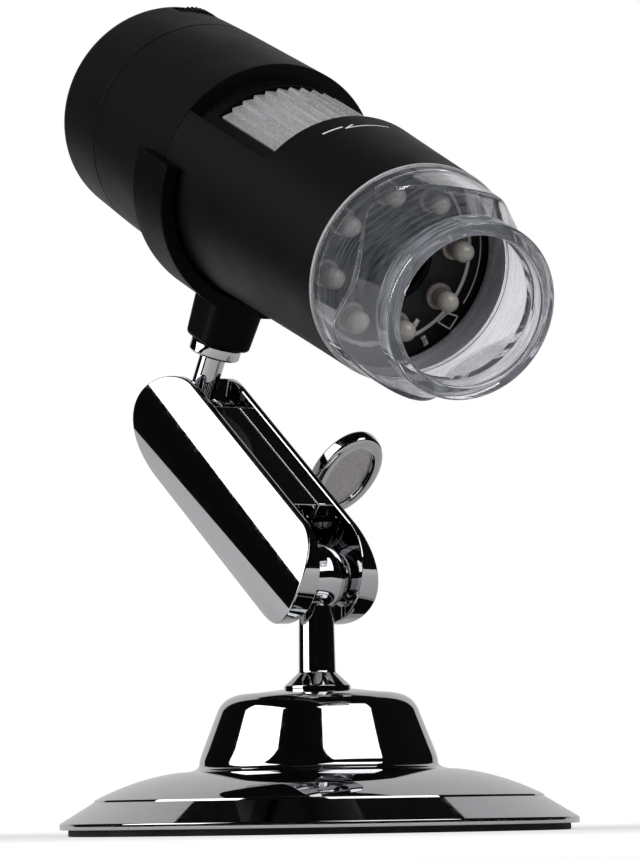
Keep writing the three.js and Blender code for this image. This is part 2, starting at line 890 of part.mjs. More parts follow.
function opticsTube() {
  const body = revolvedAlong([
    [optics.flangePlace, opticsInner],
    [optics.flangePlace, barrelInner - gap],
    [flangeFront, barrelInner - gap],
    [flangeFront, opticsRadius],
    [optics.frontEnd, opticsRadius],
    [optics.frontEnd, opticsInner],
  ], facets.medium);
  const slotLength = 2 * (cell.travel + cell.pinRadius + gap);
  const slotWidth = 2 * (cell.pinRadius + gap);
  const slot = box(slotLength, slotWidth, opticsRadius, cell.pinPlace, 0, -opticsRadius);
  const holeRadius = optics.screwRadius + gap;
  const hole = discAlong(optics.flangePlace - overrun, flangeFront + overrun, holeRadius, facets.tiny);
  const holes = unite(spread(hole.translate([0, 0, screwCircle]), optics.screwCount));
  return body.subtract(slot).subtract(holes);
}

// Screws that hold the optics tube's flange to posts on the sensor board
function boardScrews() {
  const headRear = flangeFront + gap;
  const tip = board.sensorPlace + board.thickness + gap;
  const screw = revolvedAlong([
    [tip, 0],
    [tip, optics.screwRadius],
    [headRear, optics.screwRadius],
    [headRear, optics.screwHeadRadius],
    [headRear + optics.screwHeadHeight, optics.screwHeadRadius],
    [headRear + optics.screwHeadHeight, 0],
  ], facets.tiny);
  return spread(screw.translate([0, 0, screwCircle]), optics.screwCount);
}

function infraredFilter() {
  const rear = optics.filterPlace;
  return discAlong(rear, rear + optics.filterThickness, opticsInner - gap, facets.medium);
}

const cellBore = cellOuter - cell.wall;
const lensSeat = cell.front - cell.seatDepth;
const pinReach = ringBore - cell.pinSpace;

function lensCell() {
  const seatRadius = cell.lensRadius + gap;
  const body = revolvedAlong([
    [cell.rear, cellBore],
    [cell.rear, cellOuter],
    [cell.front, cellOuter],
    [cell.front, seatRadius],
    [lensSeat, seatRadius],
    [lensSeat, seatRadius - cell.wall],
    [lensSeat - cell.wall, seatRadius - cell.wall],
    [lensSeat - cell.wall, cellBore],
  ], facets.medium);
  const pin = new THREE.CylinderGeometry(cell.pinRadius, cell.pinRadius, pinReach - cellBore - gap,
    facets.tiny, 1);
  pin.rotateX(Math.PI / 2);
  pin.translate(cell.pinPlace, 0, -(pinReach + cellBore + gap) / 2);
  return body.add(solid(pin));
}

function objectiveLens() {
  const rear = lensSeat + gap;
  const front = rear + cell.lensRim;
  const profile = outline((path) => {
    path.moveTo(rear, 0);
    path.lineTo(rear, cell.lensRadius);
    path.lineTo(front, cell.lensRadius);
    path.quadraticCurveTo(front + cell.lensBulge, cell.lensRadius / 2, front + cell.lensBulge, 0);
  });
  const flipped = profile.map((point) => new THREE.Vector2(point.y, point.x));
  const body = turned(flipped, facets.small);
  body.rotateY(Math.PI / 2);
  return solid(dropAxisSpan(body));
}

function lensRetainer() {
  const rear = lensSeat + cell.lensRim + 2 * gap;
  return sleeveAlong(rear, rear + cell.retainerThickness, cell.lensRadius - cell.retainerWidth, cell.lensRadius,
    facets.small);
}

const ribShares = [[0, 0], [0.35, 1], [0.7, 0]];

function focusRing() {
  const shape = toothed(ring.ribs, ringTip - ring.ribHeight, ringTip, ribShares);
  const hole = new THREE.Path();
  hole.absarc(0, 0, ringBore, 0, 2 * Math.PI, true);
  shape.holes.push(hole);
  const grip = slice(shape, ring.rear, ring.front, fullTurnSteps);
  const webBore = opticsRadius + gap;
  const webOuter = ringBore + ring.ribHeight;
  const web = sleeveAlong(ring.rear, ring.rear + ring.webThickness, webBore, webOuter, facets.large);
  const webFront = optics.frontEnd - gap;
  const frontWeb = sleeveAlong(webFront - ring.webThickness, webFront, webBore, webOuter, facets.large);
  return grip.add(web).add(frontWeb);
}

function lightBaffle() {
  const spigotRadius = boardHole - gap;
  const shoulder = lamp.boardPlace - gap;
  const neck = spigotRadius + baffle.wall;
  return revolvedAlong([
    [baffle.rear, baffle.rearRadius - baffle.wall],
    [baffle.rear, baffle.rearRadius],
    [shoulder, neck],
    [shoulder, spigotRadius],
    [shoulder + baffle.spigot, spigotRadius],
    [shoulder + baffle.spigot, spigotRadius - baffle.wall],
  ], facets.medium);
}

function ledBoard() {
  const outer = barrelInner - 2 * gap;
  return sleeveAlong(lamp.boardPlace, boardFront, boardHole, outer, facets.large);
}

// Eight lamps on one circle, each with its flange, body and dome
function lampRing() {
  const rear = boardFront + gap;
  const domeStart = rear + lamp.height - lamp.radius;
  const profile = outline((path) => {
    path.moveTo(rear, 0);
    path.lineTo(rear, lamp.flangeRadius);
    path.lineTo(rear + lamp.flangeHeight, lamp.flangeRadius);
    path.lineTo(rear + lamp.flangeHeight, lamp.radius);
    path.absarc(domeStart, 0, lamp.radius, Math.PI / 2, 0, true);
  }, lampSteps);
  const flipped = profile.map((point) => new THREE.Vector2(Math.max(point.y, 0), point.x));
  const body = turned(flipped, facets.tiny);
  body.rotateY(Math.PI / 2);
  const one = solid(dropAxisSpan(body)).translate([0, 0, lampCircle]);
  return spread(one, lamp.count, 180 / lamp.count);
}

// Clear nose: a thick revolved wall whose shoulder is pushed into lobes
function clearShroud() {
  const rim = tube.noseEnd + gap;
  const skirtInner = skirtRadius - shroud.skirtWall;
  const shoulderRadius = skirtRadius - shroud.shoulderDrop;
  const throatRadius = skirtRadius - shroud.throatDrop;
  const collarRadius = skirtRadius - shroud.collarDrop;
  const boreRadius = collarRadius - shroud.collarWall;
  const innerShoulder = shroud.shoulderPlace - shroud.skirtWall / 2;
  const throatInner = shroud.collarPlace - shroud.skirtWall / 2;
  const points = [];
  const add = (along, radius) => points.push(new THREE.Vector2(radius, along));
  const run = (fromX, fromR, toX, toR) => {
    for (let i = 1; i <= shoulderSteps; i += 1) {
      const share = i / shoulderSteps;
      const ease = (1 - Math.cos(Math.PI * share)) / 2;
      add(fromX + (toX - fromX) * share, fromR + (toR - fromR) * (share + ease) / 2);
    }
  };
  add(shroud.spigotRear, spigotOuter);
  add(rim, spigotOuter);
  add(rim, skirtRadius);
  add(shroud.waveStart, skirtRadius);
  add((shroud.waveStart + shroud.shoulderPlace) / 2, (skirtRadius + shoulderRadius) / 2);
  add(shroud.shoulderPlace, shoulderRadius);
  run(shroud.shoulderPlace, shoulderRadius, shroud.waveEnd, throatRadius);
  add(shroud.collarPlace, collarRadius);
  add(shroud.tip - shroud.edgeRound, collarRadius);
  add(shroud.tip, collarRadius - shroud.edgeRound);
  add(shroud.tip, boreRadius);
  add(throatInner, boreRadius);
  run(throatInner, boreRadius, innerShoulder, skirtInner);
  add(rim + shroud.skirtWall, skirtInner);
  add(rim + shroud.skirtWall / 2, spigotInner);
  add(shroud.spigotRear, spigotInner);
  const body = turned(points, facets.large);
  body.rotateY(Math.PI / 2);
  scallop(body);
  return solid(body);
}

// Moves each point along the axis in a wave that runs round the shoulder
function scallop(geometry) {
  const at = geometry.getAttribute('position');
  for (let i = 0; i < at.count; i += 1) {
    const along = at.getX(i);
    const share = (along - shroud.waveStart) / (shroud.waveEnd - shroud.waveStart);
    const weight = Math.sin(Math.PI * Math.min(Math.max(share, 0), 1)) ** 2;
    const around = Math.atan2(at.getY(i), at.getZ(i));
    at.setX(i, along + shroud.waveDepth * weight * Math.cos(shroud.lobes * around));
  }
}

// Assembly

const microscope = new THREE.Group();
place(microscope, 'base_shell', footShell(), chrome);
place(microscope, 'base_pad', footPad(), rubber);
place(microscope, 'base_weight', footSlug(), steel);
place(microscope, 'base_screw', footScrewBody(), steel);

const armRoot = new THREE.Group();
armRoot.position.z = lowerStud.ballHeight;
microscope.add(armRoot);
place(armRoot, 'lower_ball_stud', lowerBallStud(), chrome);

const armGroup = new THREE.Group();
armGroup.rotation.y = -THREE.MathUtils.degToRad(posture.armLean);
armRoot.add(armGroup);
place(armGroup, 'arm_front_shell', armFrontShell(), chrome);
place(armGroup, 'arm_rear_shell', armRearShell(), chrome);
place(armGroup, 'clamp_washer', clampWasher(), steel);
place(armGroup, 'clamp_screw', clampScrew(), steel);

const knobGroup = new THREE.Group();
knobGroup.position.z = arm.screwPlace;
knobGroup.rotation.y = THREE.MathUtils.degToRad(posture.knobTurn);
armGroup.add(knobGroup);
place(knobGroup, 'wing_knob', wingKnob(), satinChrome);

const studGroup = new THREE.Group();
studGroup.position.z = arm.ballSpacing;
const stemLean = THREE.MathUtils.degToRad(posture.armLean + posture.stemTilt);
studGroup.rotation.set(-THREE.MathUtils.degToRad(posture.stemSideLean), stemLean, 0, 'YXZ');
armGroup.add(studGroup);
place(studGroup, 'upper_ball_stud', upperBallStud(), chrome);

const cradleGroup = new THREE.Group();
cradleGroup.position.z = stemReach;
cradleGroup.rotation.z = -THREE.MathUtils.degToRad(posture.cradleSwivel);
studGroup.add(cradleGroup);
place(cradleGroup, 'stud_collar', studCollar(), chrome);
place(cradleGroup, 'cradle_clip', cradleClip(), blackPlastic);
place(cradleGroup, 'cradle_insert', cradleInsert(), brass);

const tubeGroup = new THREE.Group();
tubeGroup.position.x = cradle.tubeOffset;
cradleGroup.add(tubeGroup);
place(tubeGroup, 'rear_cap', rearCap(), blackShell);
place(tubeGroup, 'cable_gland', cableGland(), rubber);
place(tubeGroup, 'led_dial', ledDial(), blackPlastic);
place(tubeGroup, 'dimmer_pot', dimmerPot(), steel);
place(tubeGroup, 'dimmer_board', dimmerBoard(), greenBoard);
place(tubeGroup, 'rear_barrel', rearBarrel(), blackShell);
place(tubeGroup, 'front_barrel', frontBarrel(), blackShell);
place(tubeGroup, 'sensor_board', sensorBoard(), greenBoard);
place(tubeGroup, 'image_sensor', imageSensor(), blackPlastic);
place(tubeGroup, 'optics_tube', opticsTube(), blackPlastic);
placeEach(tubeGroup, 'optics_screw', boardScrews(), steel);
place(tubeGroup, 'infrared_filter', infraredFilter(), lensGlass);
place(tubeGroup, 'lens_cell', lensCell(), blackPlastic);
place(tubeGroup, 'objective_lens', objectiveLens(), lensGlass);
place(tubeGroup, 'lens_retainer', lensRetainer(), blackPlastic);
place(tubeGroup, 'focus_ring', focusRing(), smokedRing);
place(tubeGroup, 'light_baffle', lightBaffle(), blackPlastic);
place(tubeGroup, 'led_board', ledBoard(), blackBoard);
placeEach(tubeGroup, 'led_lamp', lampRing(), milkyLamp);
place(tubeGroup, 'clear_shroud', clearShroud(), clearPlastic);

export default microscope;
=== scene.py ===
import json
import math

import bmesh
import bpy
from bpy.props import FloatProperty, FloatVectorProperty, IntProperty, PointerProperty
from bpy.types import Operator, Panel, PropertyGroup
from mathutils import Matrix, Vector


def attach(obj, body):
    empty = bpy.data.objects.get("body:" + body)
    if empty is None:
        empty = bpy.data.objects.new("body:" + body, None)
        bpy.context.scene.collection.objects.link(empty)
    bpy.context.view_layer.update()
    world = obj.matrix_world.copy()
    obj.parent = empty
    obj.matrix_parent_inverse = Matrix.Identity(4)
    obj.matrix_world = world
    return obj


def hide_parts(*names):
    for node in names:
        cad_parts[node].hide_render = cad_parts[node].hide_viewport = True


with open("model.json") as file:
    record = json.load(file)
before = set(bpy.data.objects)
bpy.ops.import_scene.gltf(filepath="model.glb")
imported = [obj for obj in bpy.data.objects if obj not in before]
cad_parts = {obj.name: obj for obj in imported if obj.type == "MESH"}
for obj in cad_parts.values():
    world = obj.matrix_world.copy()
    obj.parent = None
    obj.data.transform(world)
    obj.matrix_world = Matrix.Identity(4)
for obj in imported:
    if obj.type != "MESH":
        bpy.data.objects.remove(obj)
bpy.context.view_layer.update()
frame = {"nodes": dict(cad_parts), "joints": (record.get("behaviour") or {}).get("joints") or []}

bl_info = {
    "name": "Digital microscope on its stand",
    "version": (1, 0, 0),
    "blender": (4, 5, 0),
    "location": "View3D > Sidebar > Microscope",
    "description": "Dresses a usb digital microscope and its chrome stand, piece by piece",
    "category": "Object",
}

MM = 0.001

# Steps round a full turn, for wide, middling and small round pieces
WIDE_TURN = 192
TURN = 96
SMALL_TURN = 40


# Sizes and colours that a user may change


def length(name, description, millimetres):
    """A size property, given in millimetres and kept in metres."""
    return FloatProperty(
        name=name, description=description, default=millimetres * MM, precision=5, unit="LENGTH")


def turn(name, description, degrees):
    """An angle property, given in degrees."""
    return FloatProperty(
        name=name, description=description, default=math.radians(degrees), unit="ROTATION")


def count(name, description, number):
    """A whole number of like features."""
    return IntProperty(name=name, description=description, default=number, min=1)


def linear(hex_colour):
    """Red, green and blue as the renderer wants them, from an sRGB hex colour."""
    channels = [int(hex_colour[i:i + 2], 16) / 255 for i in (0, 2, 4)]
    return [c / 12.92 if c <= 0.04045 else ((c + 0.055) / 1.055) ** 2.4 for c in channels]


def colour(name, description, hex_colour):
    """A colour property, given as sRGB hex."""
    return FloatVectorProperty(
        name=name, description=description, default=linear(hex_colour), subtype="COLOR",
        min=0.0, max=1.0)


class FootSizes(PropertyGroup):
    """Round foot, as radii and as heights above the table"""
    rim_radius: length("Rim radius", "Outer edge of the foot", 39.3)
    rim_bottom: length("Rim underside", "Height of the rim's lower edge", 1.0)
    rim_top: length("Rim top", "Height of the rim's upper edge", 1.9)
    edge_radius: length("Edge radius", "Where the wide slope begins", 33.95)
    edge_height: length("Edge height", "Height where the wide slope begins", 5.4)
    edge_step: length("Edge step", "Small upright step below the wide slope", 0.3)
    slope_radius: length("Slope radius", "Inner end of the wide slope", 21.2)
    slope_height: length("Slope height", "Height of the slope's inner end", 9.4)
    slope_bulge: length("Slope bulge", "How far the wide slope is crowned", 1.25)
    hub_radius: length("Hub radius", "Foot of the raised hub", 18.05)
    hub_foot: length("Hub foot", "Height where the hub's side starts", 10.6)
    shoulder_radius: length("Shoulder radius", "Hub's side at its shoulder", 15.2)
    shoulder_height: length("Shoulder height", "Height of the hub's shoulder", 18.5)
    shoulder_inset: length("Shoulder inset", "Inward pull of the shoulder's curve", 1.1)
    crown_radius: length("Crown radius", "Where the hub's top levels out", 10.3)
    crown_height: length("Crown height", "Height where the top levels out", 21.15)
    top_height: length("Top height", "Height of the hub's seat", 21.75)
    wall: length("Wall", "Thickness of the plated shell", 1.6)
    pad_radius: length("Pad radius", "Rubber pad under the foot", 38.0)


class StudSizes(PropertyGroup):
    """The two ball studs and the collar"""
    ball_radius: length("Ball radius", "Both balls", 5.15)
    flange_radius: length("Flange radius", "Flange on the foot", 5.05)
    flange_top: length("Flange top", "Height where the post starts", 24.3)
    post_foot: length("Post foot radius", "Post at its foot", 2.8)
    post_top: length("Post top radius", "Post under the ball", 2.65)
    neck_radius: length("Neck radius", "Neck of the upper stud", 2.08)
    neck_length: length("Neck length", "From the upper ball to the collar", 11.9)
    thread_length: length("Thread length", "From the collar up into the clip", 8.2)
    collar_radius: length("Collar radius", "Collar under the clip's post", 4.05)
    collar_height: length("Collar height", "Height of the collar", 1.8)


class ArmSizes(PropertyGroup):
    """Clamp arm, measured from the lower ball and from the middle of its slot"""
    end_radius: length("End radius", "Round end of a plate", 8.66)
    end_inset: length("End inset", "From the ball to the end's centre", 2.53)
    half_slot: length("Half slot", "Inner face of a plate", 3.93)
    face: length("Face", "Outermost line of a plate", 7.56)
    crown: length("Crown radius", "Radius of the crown across a plate", 15.72)
    edge_round: length("Edge round", "Rounding along a plate's edge", 0.22)
    block_inset: length("Block inset", "From the ball to the block between the plates", 7.5)
    block_recess: length("Block recess", "How far the block stays inside the plates", 0.35)
    split: length("Split", "Where the two half blocks meet", 1.2)
    seat_space: length("Seat space", "Room between a ball and its seat", 0.3)
    screw_radius: length("Screw hole", "Hole for the clamping screw", 2.0)
    washer_radius: length("Washer radius", "Washer under the thumb piece", 4.0)
    washer_place: length("Washer place", "Underside of the washer", 6.99)
    washer_height: length("Washer height", "Thickness of the washer", 0.8)
    hub_radius: length("Hub radius", "Hub of the thumb piece", 3.0)
    hub_place: length("Hub place", "Underside of the hub", 7.85)
    hub_top: length("Hub top", "Where the hub narrows", 11.49)
    paddle_side: length("Paddle offset", "Sideways offset of the thumb piece", 5.8)
    paddle_rise: length("Paddle rise", "From the slot's middle to the thumb piece", 14.7)
    paddle_width: length("Paddle width", "Long axis of the oval", 15.6)
    paddle_height: length("Paddle height", "Short axis of the oval", 11.5)
    paddle_thickness: length("Paddle thickness", "Over both rims", 2.4)
    paddle_rim: length("Paddle rim", "Width of the polished rim", 2.15)
    paddle_recess: length("Paddle recess", "Depth of the grainy face", 0.45)
    paddle_turn: turn("Paddle turn", "Turn of the thumb piece on its screw", 5.5)


class ClipSizes(PropertyGroup):
    """Half-round clip with its square post"""
    tube_offset: length("Tube offset", "From the stem's line to the seam of the tube", 0.52)
    band_rear: length("Band rear", "Rear edge of the band, from the stem's line", -4.28)
    band_front: length("Band front", "Front edge of the band, from the stem's line", 6.82)
    band_inner: length("Band inner radius", "Bore of the clip", 18.6)
    band_outer: length("Band outer radius", "Outside of the clip", 20.9)
    post_length: length("Post length", "Side of the post along the tube", 8.8)
    post_width: length("Post width", "Side of the post across the tube", 8.6)
    post_corner: length("Post corner", "Rounded corner of the post", 2.4)
    post_bottom: length("Post bottom", "From the tube's axis down to the post's end", -27.3)
    socket_radius: length("Socket radius", "Hole for the brass insert", 2.9)
    socket_top: length("Socket top", "End of that hole", -19.7)


class TubeSizes(PropertyGroup):
    """Camera tube, with places along its axis from the seam between its barrels"""
    rear_end: length("Rear end", "Flat rear end", -42.4)
    rear_radius: length("Rear radius", "At the rear end", 17.55)
    rear_round: length("Rear round", "Rounding of the rear end", 2.6)
    cap_seam: length("Cap seam", "Seam of the rear cap", -27.0)
    cap_radius: length("Cap radius", "At the cap's seam", 18.05)
    seam_radius: length("Seam radius", "At the seam between the barrels", 18.5)
    waist_place: length("Waist place", "Control point of the front barrel's curve", 22.0)
    waist_radius: length("Waist radius", "Radius of that control point", 17.4)
    nose_end: length("Nose end", "Front end of the barrel", 51.3)
    nose_radius: length("Nose radius", "Outside of the front end", 16.8)
    bore: length("Bore", "Inside of the casing", 16.4)
    nose_bore: length("Nose bore", "Inside of the front end", 15.95)
    board_place: length("Board place", "Front face of the lamp board", 43.8)
    window_end: length("Window end", "Front edge of the window", 27.0)
    window_half: turn("Window half angle", "Half of the window's opening", 64.0)
    liner_bore: length("Liner bore", "Inside of the thin liner round the window", 16.2)
    liner_half: turn("Liner half angle", "Half of the liner's opening", 57.5)
    window_corner: length("Window corner", "Rounded front corners of the window", 1.2)
    dial_place: length("Dial place", "Middle of the brightness wheel", -38.4)
    dial_height: length("Dial height", "Axle above the tube's axis", 11.8)
    dial_radius: length("Dial radius", "Brightness wheel", 6.3)
    dial_thickness: length("Dial thickness", "Brightness wheel", 3.0)
    dial_teeth: count("Dial teeth", "Teeth of the brightness wheel", 52)
    ring_rear: length("Ring rear", "Rear end of the focus ring", 4.8)
    ring_front: length("Ring front", "Front end of the focus ring", 26.4)
    ring_tip: length("Ring tip radius", "Over the ribs", 16.1)
    ring_bore: length("Ring bore", "Inside of the focus ring", 13.6)
    rib_height: length("Rib height", "Height of a rib", 0.5)
    ribs: count("Ribs", "Ribs of the focus ring", 50)


class NoseSizes(PropertyGroup):
    """Light ring and clear nose"""
    lamps: count("Lamps", "Lamps on the board", 8)
    lamp_circle: length("Lamp circle", "Radius of the ring of lamps", 10.3)
    lamp_radius: length("Lamp radius", "Body and dome of a lamp", 1.55)
    lamp_flange: length("Lamp flange", "Radius of its flange", 2.08)
    lamp_height: length("Lamp height", "From the board to the dome's tip", 5.3)
    board_hole: length("Board hole", "Hole for the view", 6.9)
    board_radius: length("Board radius", "Edge of the lamp board", 16.0)
    print_radius: length("Print radius", "Printed circle on the board", 13.1)
    spigot_rear: length("Spigot rear", "Rear end of the clear nose", 44.9)
    spigot_outer: length("Spigot radius", "Where the nose plugs into the barrel", 15.85)
    inner_radius: length("Inner radius", "Inside of the clear wall", 15.1)
    skirt_radius: length("Skirt radius", "Outside of the skirt", 16.4)
    lip_radius: length("Lip radius", "Bevelled lip of the skirt on the barrel", 16.7)
    wave_middle: length("Wave middle", "Mean place of the shoulder's edge", 59.35)
    wave_reach: length("Wave reach", "How far that edge swings each way", 3.65)
    lobes: count("Lobes", "Waves round the shoulder", 4)
    throat_place: length("Throat place", "Narrowest part behind the collar", 66.5)
    throat_radius: length("Throat radius", "Outside of the throat", 12.8)
    collar_radius: length("Collar radius", "Outside of the mouth's collar", 13.45)
    collar_bore: length("Collar bore", "Opening of the mouth", 11.3)
    tip: length("Tip", "Front face of the mouth", 70.7)


class StageSizes(PropertyGroup):
    """Paper, soft boxes and camera"""
    paper_half_width: length("Paper half width", "Half the width of the paper sweep", 500.0)
    paper_front: length("Paper front", "From the object to the sweep's front edge", 380.0)
    paper_back: length("Paper back", "Where the sweep starts to curve up", 500.0)
    paper_height: length("Paper height", "Top of the sweep", 1000.0)
    box_distance: length("Soft box distance", "From the object to each soft box", 900.0)
    flag_distance: length("Flag distance", "From the object to each black flag", 1300.0)
    lens: FloatProperty(name="Lens", description="Focal length of the camera", default=209.3)


class Finishes(PropertyGroup):
    """Colours of the finishes"""
    chrome: colour("Chrome", "Plated zinc and steel", "C8C9CB")
    satin: colour("Satin metal", "Grainy face of the thumb piece", "C9C4C7")
    steel: colour("Steel", "Turned screws and washer", "8B8D90")
    brass: colour("Brass", "Threaded insert", "C9A85C")
    shell: colour("Casing", "Black casing of the tube", "0B0B0C")
    clip: colour("Clip", "Black clip", "080808")
    ring: colour("Focus ring", "Grey ribbed ring", "E4E5E7")
    rubber: colour("Rubber", "Pad and grommet", "101011")
    green_board: colour("Green board", "Solder resist of the inner boards", "1F5A32")
    black_board: colour("Black board", "Solder resist of the lamp board", "060607")
    ink: colour("White ink", "Marks and printed lines", "F6F6F4")
    clear: colour("Clear plastic", "Nose", "EEEDF0")
    haze: colour("Haze", "Rubbed parts of the nose", "B4B9C0")
    glass: colour("Glass", "Lens and filter", "E8F0F4")
    dome: colour("Lamp dome", "Milky dome of a lamp", "D2CFC2")
    body: colour("Lamp body", "Body of a lamp behind its dome", "9C918C")
    silicon: colour("Silicon", "Face of the image sensor", "20242C")
    felt: colour("Felt", "Black flags", "070707")
    paper: colour("Paper", "Floor and backdrop", "FFFFFF")


# Places of the pieces, taken from the joints of the frame

JOINTS = {joint["name"]: joint for joint in frame["joints"]}


def pivot(name):
    """The point that a joint turns about."""
    return Vector(JOINTS[name]["pos_m"])


def axis(name):
    """The direction that a joint turns about."""
    return Vector(JOINTS[name]["axis"]).normalized()


def axes(origin, up, forward):
    """A place whose Z runs along up and whose X leans towards forward."""
    z = up.normalized()
    x = (forward - z * forward.dot(z)).normalized()
    return Matrix.Translation(origin) @ Matrix((x, z.cross(x), z)).transposed().to_4x4()


TABLE = Matrix.Identity(4)
ARM_LINE = pivot("upper_tilt") - pivot("lower_tilt")
ARM_SIDE = axis("lower_tilt").cross(ARM_LINE)
ARM = axes(pivot("lower_tilt"), ARM_LINE, ARM_SIDE)
SCREW = axes(pivot("knob_turn"), axis("knob_turn"), ARM_SIDE)
STEM = axes(pivot("upper_tilt"), axis("cradle_swivel"), axis("tube_roll"))
TUBE = axes(pivot("tube_roll"), axis("tube_roll"), axis("cradle_swivel"))


# Meshes


def bend(start, control, end, steps=12):
    """Points of one smooth curve between two corners of a profile, ends left out."""
    points = []
    for step in range(1, steps):
        t = step / steps
        point = Vector(start) * (1 - t) ** 2 + Vector(control) * 2 * t * (1 - t) + Vector(end) * t * t
        points.append((point.x, point.y, 0))
    return points


def rounded(corners, steps=4):
    """Points of a closed outline whose corners (x, y, radius) are rounded."""
    points = []
    for i, (x, y, radius) in enumerate(corners):
        here = Vector((x, y))
        if not radius:
            points.append(here)
            continue
        back = Vector(corners[i - 1][:2]) - here
        ahead = Vector(corners[(i + 1) % len(corners)][:2]) - here
        reach = radius / math.tan(back.angle(ahead) / 2)
        reach = min(reach, 0.45 * back.length, 0.45 * ahead.length)
        first = here + back.normalized() * reach
        last = here + ahead.normalized() * reach
        for step in range(steps + 1):
            t = step / steps
            points.append(first * (1 - t) ** 2 + here * 2 * t * (1 - t) + last * t * t)
    return points


def placed(name, data, place):
    """Puts a mesh, a lamp or a camera in the scene."""
    made = bpy.data.objects.new(name, data)
    bpy.context.scene.collection.objects.link(made)
    made.matrix_world = place
    return made


def drawn(name, shape, place):
    """Ends the work on a shape and puts it in the scene as a mesh."""
    mesh = bpy.data.meshes.new(name)
    shape.to_mesh(mesh)
    shape.free()
    return placed(name, mesh, place)


def evenly(low, high, steps):
    """Values from low to high in this many equal steps, both ends kept."""
    return [low + (high - low) * i / steps for i in range(steps + 1)]


def skin(name, rows, place, joined=False, capped=False):
    """A surface through rows of points, each row a closed loop of the same number of points.

    Joined, the last row meets the first. Capped, both end loops are laced shut.
    """
    width = len(rows[0])
    points = [point for row in rows for point in row]
    faces = []
    for i in range(len(rows) if joined else len(rows) - 1):
        here = i * width
        there = (i + 1) % len(rows) * width
        for j in range(width):
            k = (j + 1) % width
            faces.append((here + j, here + k, there + k, there + j))
    if capped:
        for start in (0, (len(rows) - 1) * width):
            for j in range(width // 2 - 1):
                faces.append((start + j, start + j + 1, start + width - 2 - j, start + width - 1 - j))
    mesh = bpy.data.meshes.new(name)
    mesh.from_pydata(points, [], faces)
    shape = bmesh.new()
    shape.from_mesh(mesh)
    bpy.data.meshes.remove(mesh)
    bmesh.ops.remove_doubles(shape, verts=shape.verts, dist=0.0005 * MM)
    bmesh.ops.recalc_face_normals(shape, faces=shape.faces)
    return drawn(name, shape, place)


def revolve(name, profile, place, steps=TURN):
    """A turned piece from its closed profile of (radius, height) points."""
    ways = [(math.cos(2 * math.pi * i / steps), math.sin(2 * math.pi * i / steps)) for i in range(steps)]
    rows = [[(radius * c, radius * s, height) for c, s in ways] for radius, height in profile]
    return skin(name, rows, place, joined=profile[0][0] > 0)


def rod(name, radius, low, high, place, steps=TURN):
    """A plain round cutter."""
    return revolve(name, [(0, low), (radius, low), (radius, high), (0, high)], place, steps)


def ball(name, radius, place, steps=TURN):
    """A round cutter for a ball's seat."""
    turns = evenly(0, math.pi, steps // 2)
    return revolve(name, [(radius * math.sin(t), -radius * math.cos(t)) for t in turns], place, steps)


def block(name, low, high, bevel, place):
    """A block between two corners, with rounded edges."""
    middle = (Vector(low) + Vector(high)) / 2
    shape = bmesh.new()
    bmesh.ops.create_cube(shape, size=1.0)
    bmesh.ops.scale(shape, vec=Vector(high) - Vector(low), verts=shape.verts)
    bmesh.ops.translate(shape, vec=middle, verts=shape.verts)
    bmesh.ops.bevel(shape, geom=list(shape.edges), offset=bevel, segments=3, profile=0.5, affect="EDGES")
    return drawn(name, shape, place)


def combine(target, other, operation):
    """Joins or cuts two shapes exactly, and drops the second."""
    step = target.modifiers.new(operation, "BOOLEAN")
    step.operation = operation
    step.object = other
    step.solver = "EXACT"
    seen = bpy.context.evaluated_depsgraph_get()
    result = bpy.data.meshes.new_from_object(target.evaluated_get(seen))
    target.modifiers.clear()
    target.data = result
    bpy.data.objects.remove(other)
    if not result.polygons:
        raise RuntimeError(target.name + " came out empty")
    return target


def ribbon(name, path, width, thickness, place):
    """A flat printed line along points, each with the surface's normal there."""
    rows = []
    for i, (point, normal) in enumerate(path):
        ahead = path[min(i + 1, len(path) - 1)][0] - path[max(i - 1, 0)][0]
        side = ahead.cross(normal).normalized() * width / 2
        lift = normal.normalized() * thickness
        rows.append([point - side, point + side, point + side + lift, point - side + lift])
    return skin(name, rows, place, capped=True)


def merge(parts, name):
    """Several shapes of one place as one piece."""
    shape = bmesh.new()
    for part in parts:
        shape.from_mesh(part.data)
    made = drawn(name, shape, parts[0].matrix_world)
    for part in parts:
        bpy.data.objects.remove(part)
    return made


def settle(piece, body, finishes, nodes=(), crease=32, own_axes=False, second=None):
    """Smooths a piece, gives it its finishes, and puts it on its body in place of CAD nodes.

    Second picks the faces that take the second finish. The mesh is turned into the shared frame, unless
    its finish follows the piece's own axes.
    """
    picked = [face.index for face in piece.data.polygons if second and second(face)]
    if not own_axes:
        piece.data.transform(piece.matrix_world)
        piece.matrix_world = Matrix.Identity(4)
    piece.data.materials.clear()
    for finish in finishes:
        piece.data.materials.append(bpy.data.materials[finish])
    for i in picked:
        piece.data.polygons[i].material_index = 1
    piece.data.shade_smooth()
    piece.data.set_sharp_from_angle(angle=math.radians(crease))
    even = piece.modifiers.new("even shading", "WEIGHTED_NORMAL")
    even.keep_sharp = True
    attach(piece, body)
    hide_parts(*nodes)
    return piece


# Finishes


def node(tree, kind, sockets=None, **settings):
    """Adds one shader node. Sockets get numbers, colours or links, and settings go on the node itself."""
    made = tree.nodes.new(kind)
    for name, value in settings.items():
        setattr(made, name, value)
    for name, value in (sockets or {}).items():
        if isinstance(value, bpy.types.NodeSocket):
            tree.links.new(value, made.inputs[name])
        else:
            made.inputs[name].default_value = value
    return made


def started(name):
    """An empty material, its node tree and its object coordinates."""
    made = bpy.data.materials.new(name)
    made.use_nodes = True
    tree = made.node_tree
    tree.nodes.clear()
    return tree, node(tree, "ShaderNodeTexCoord").outputs["Object"]


def per(millimetres):
    """The scale at which a pattern's features come out this large."""
    return 1 / (millimetres * MM)


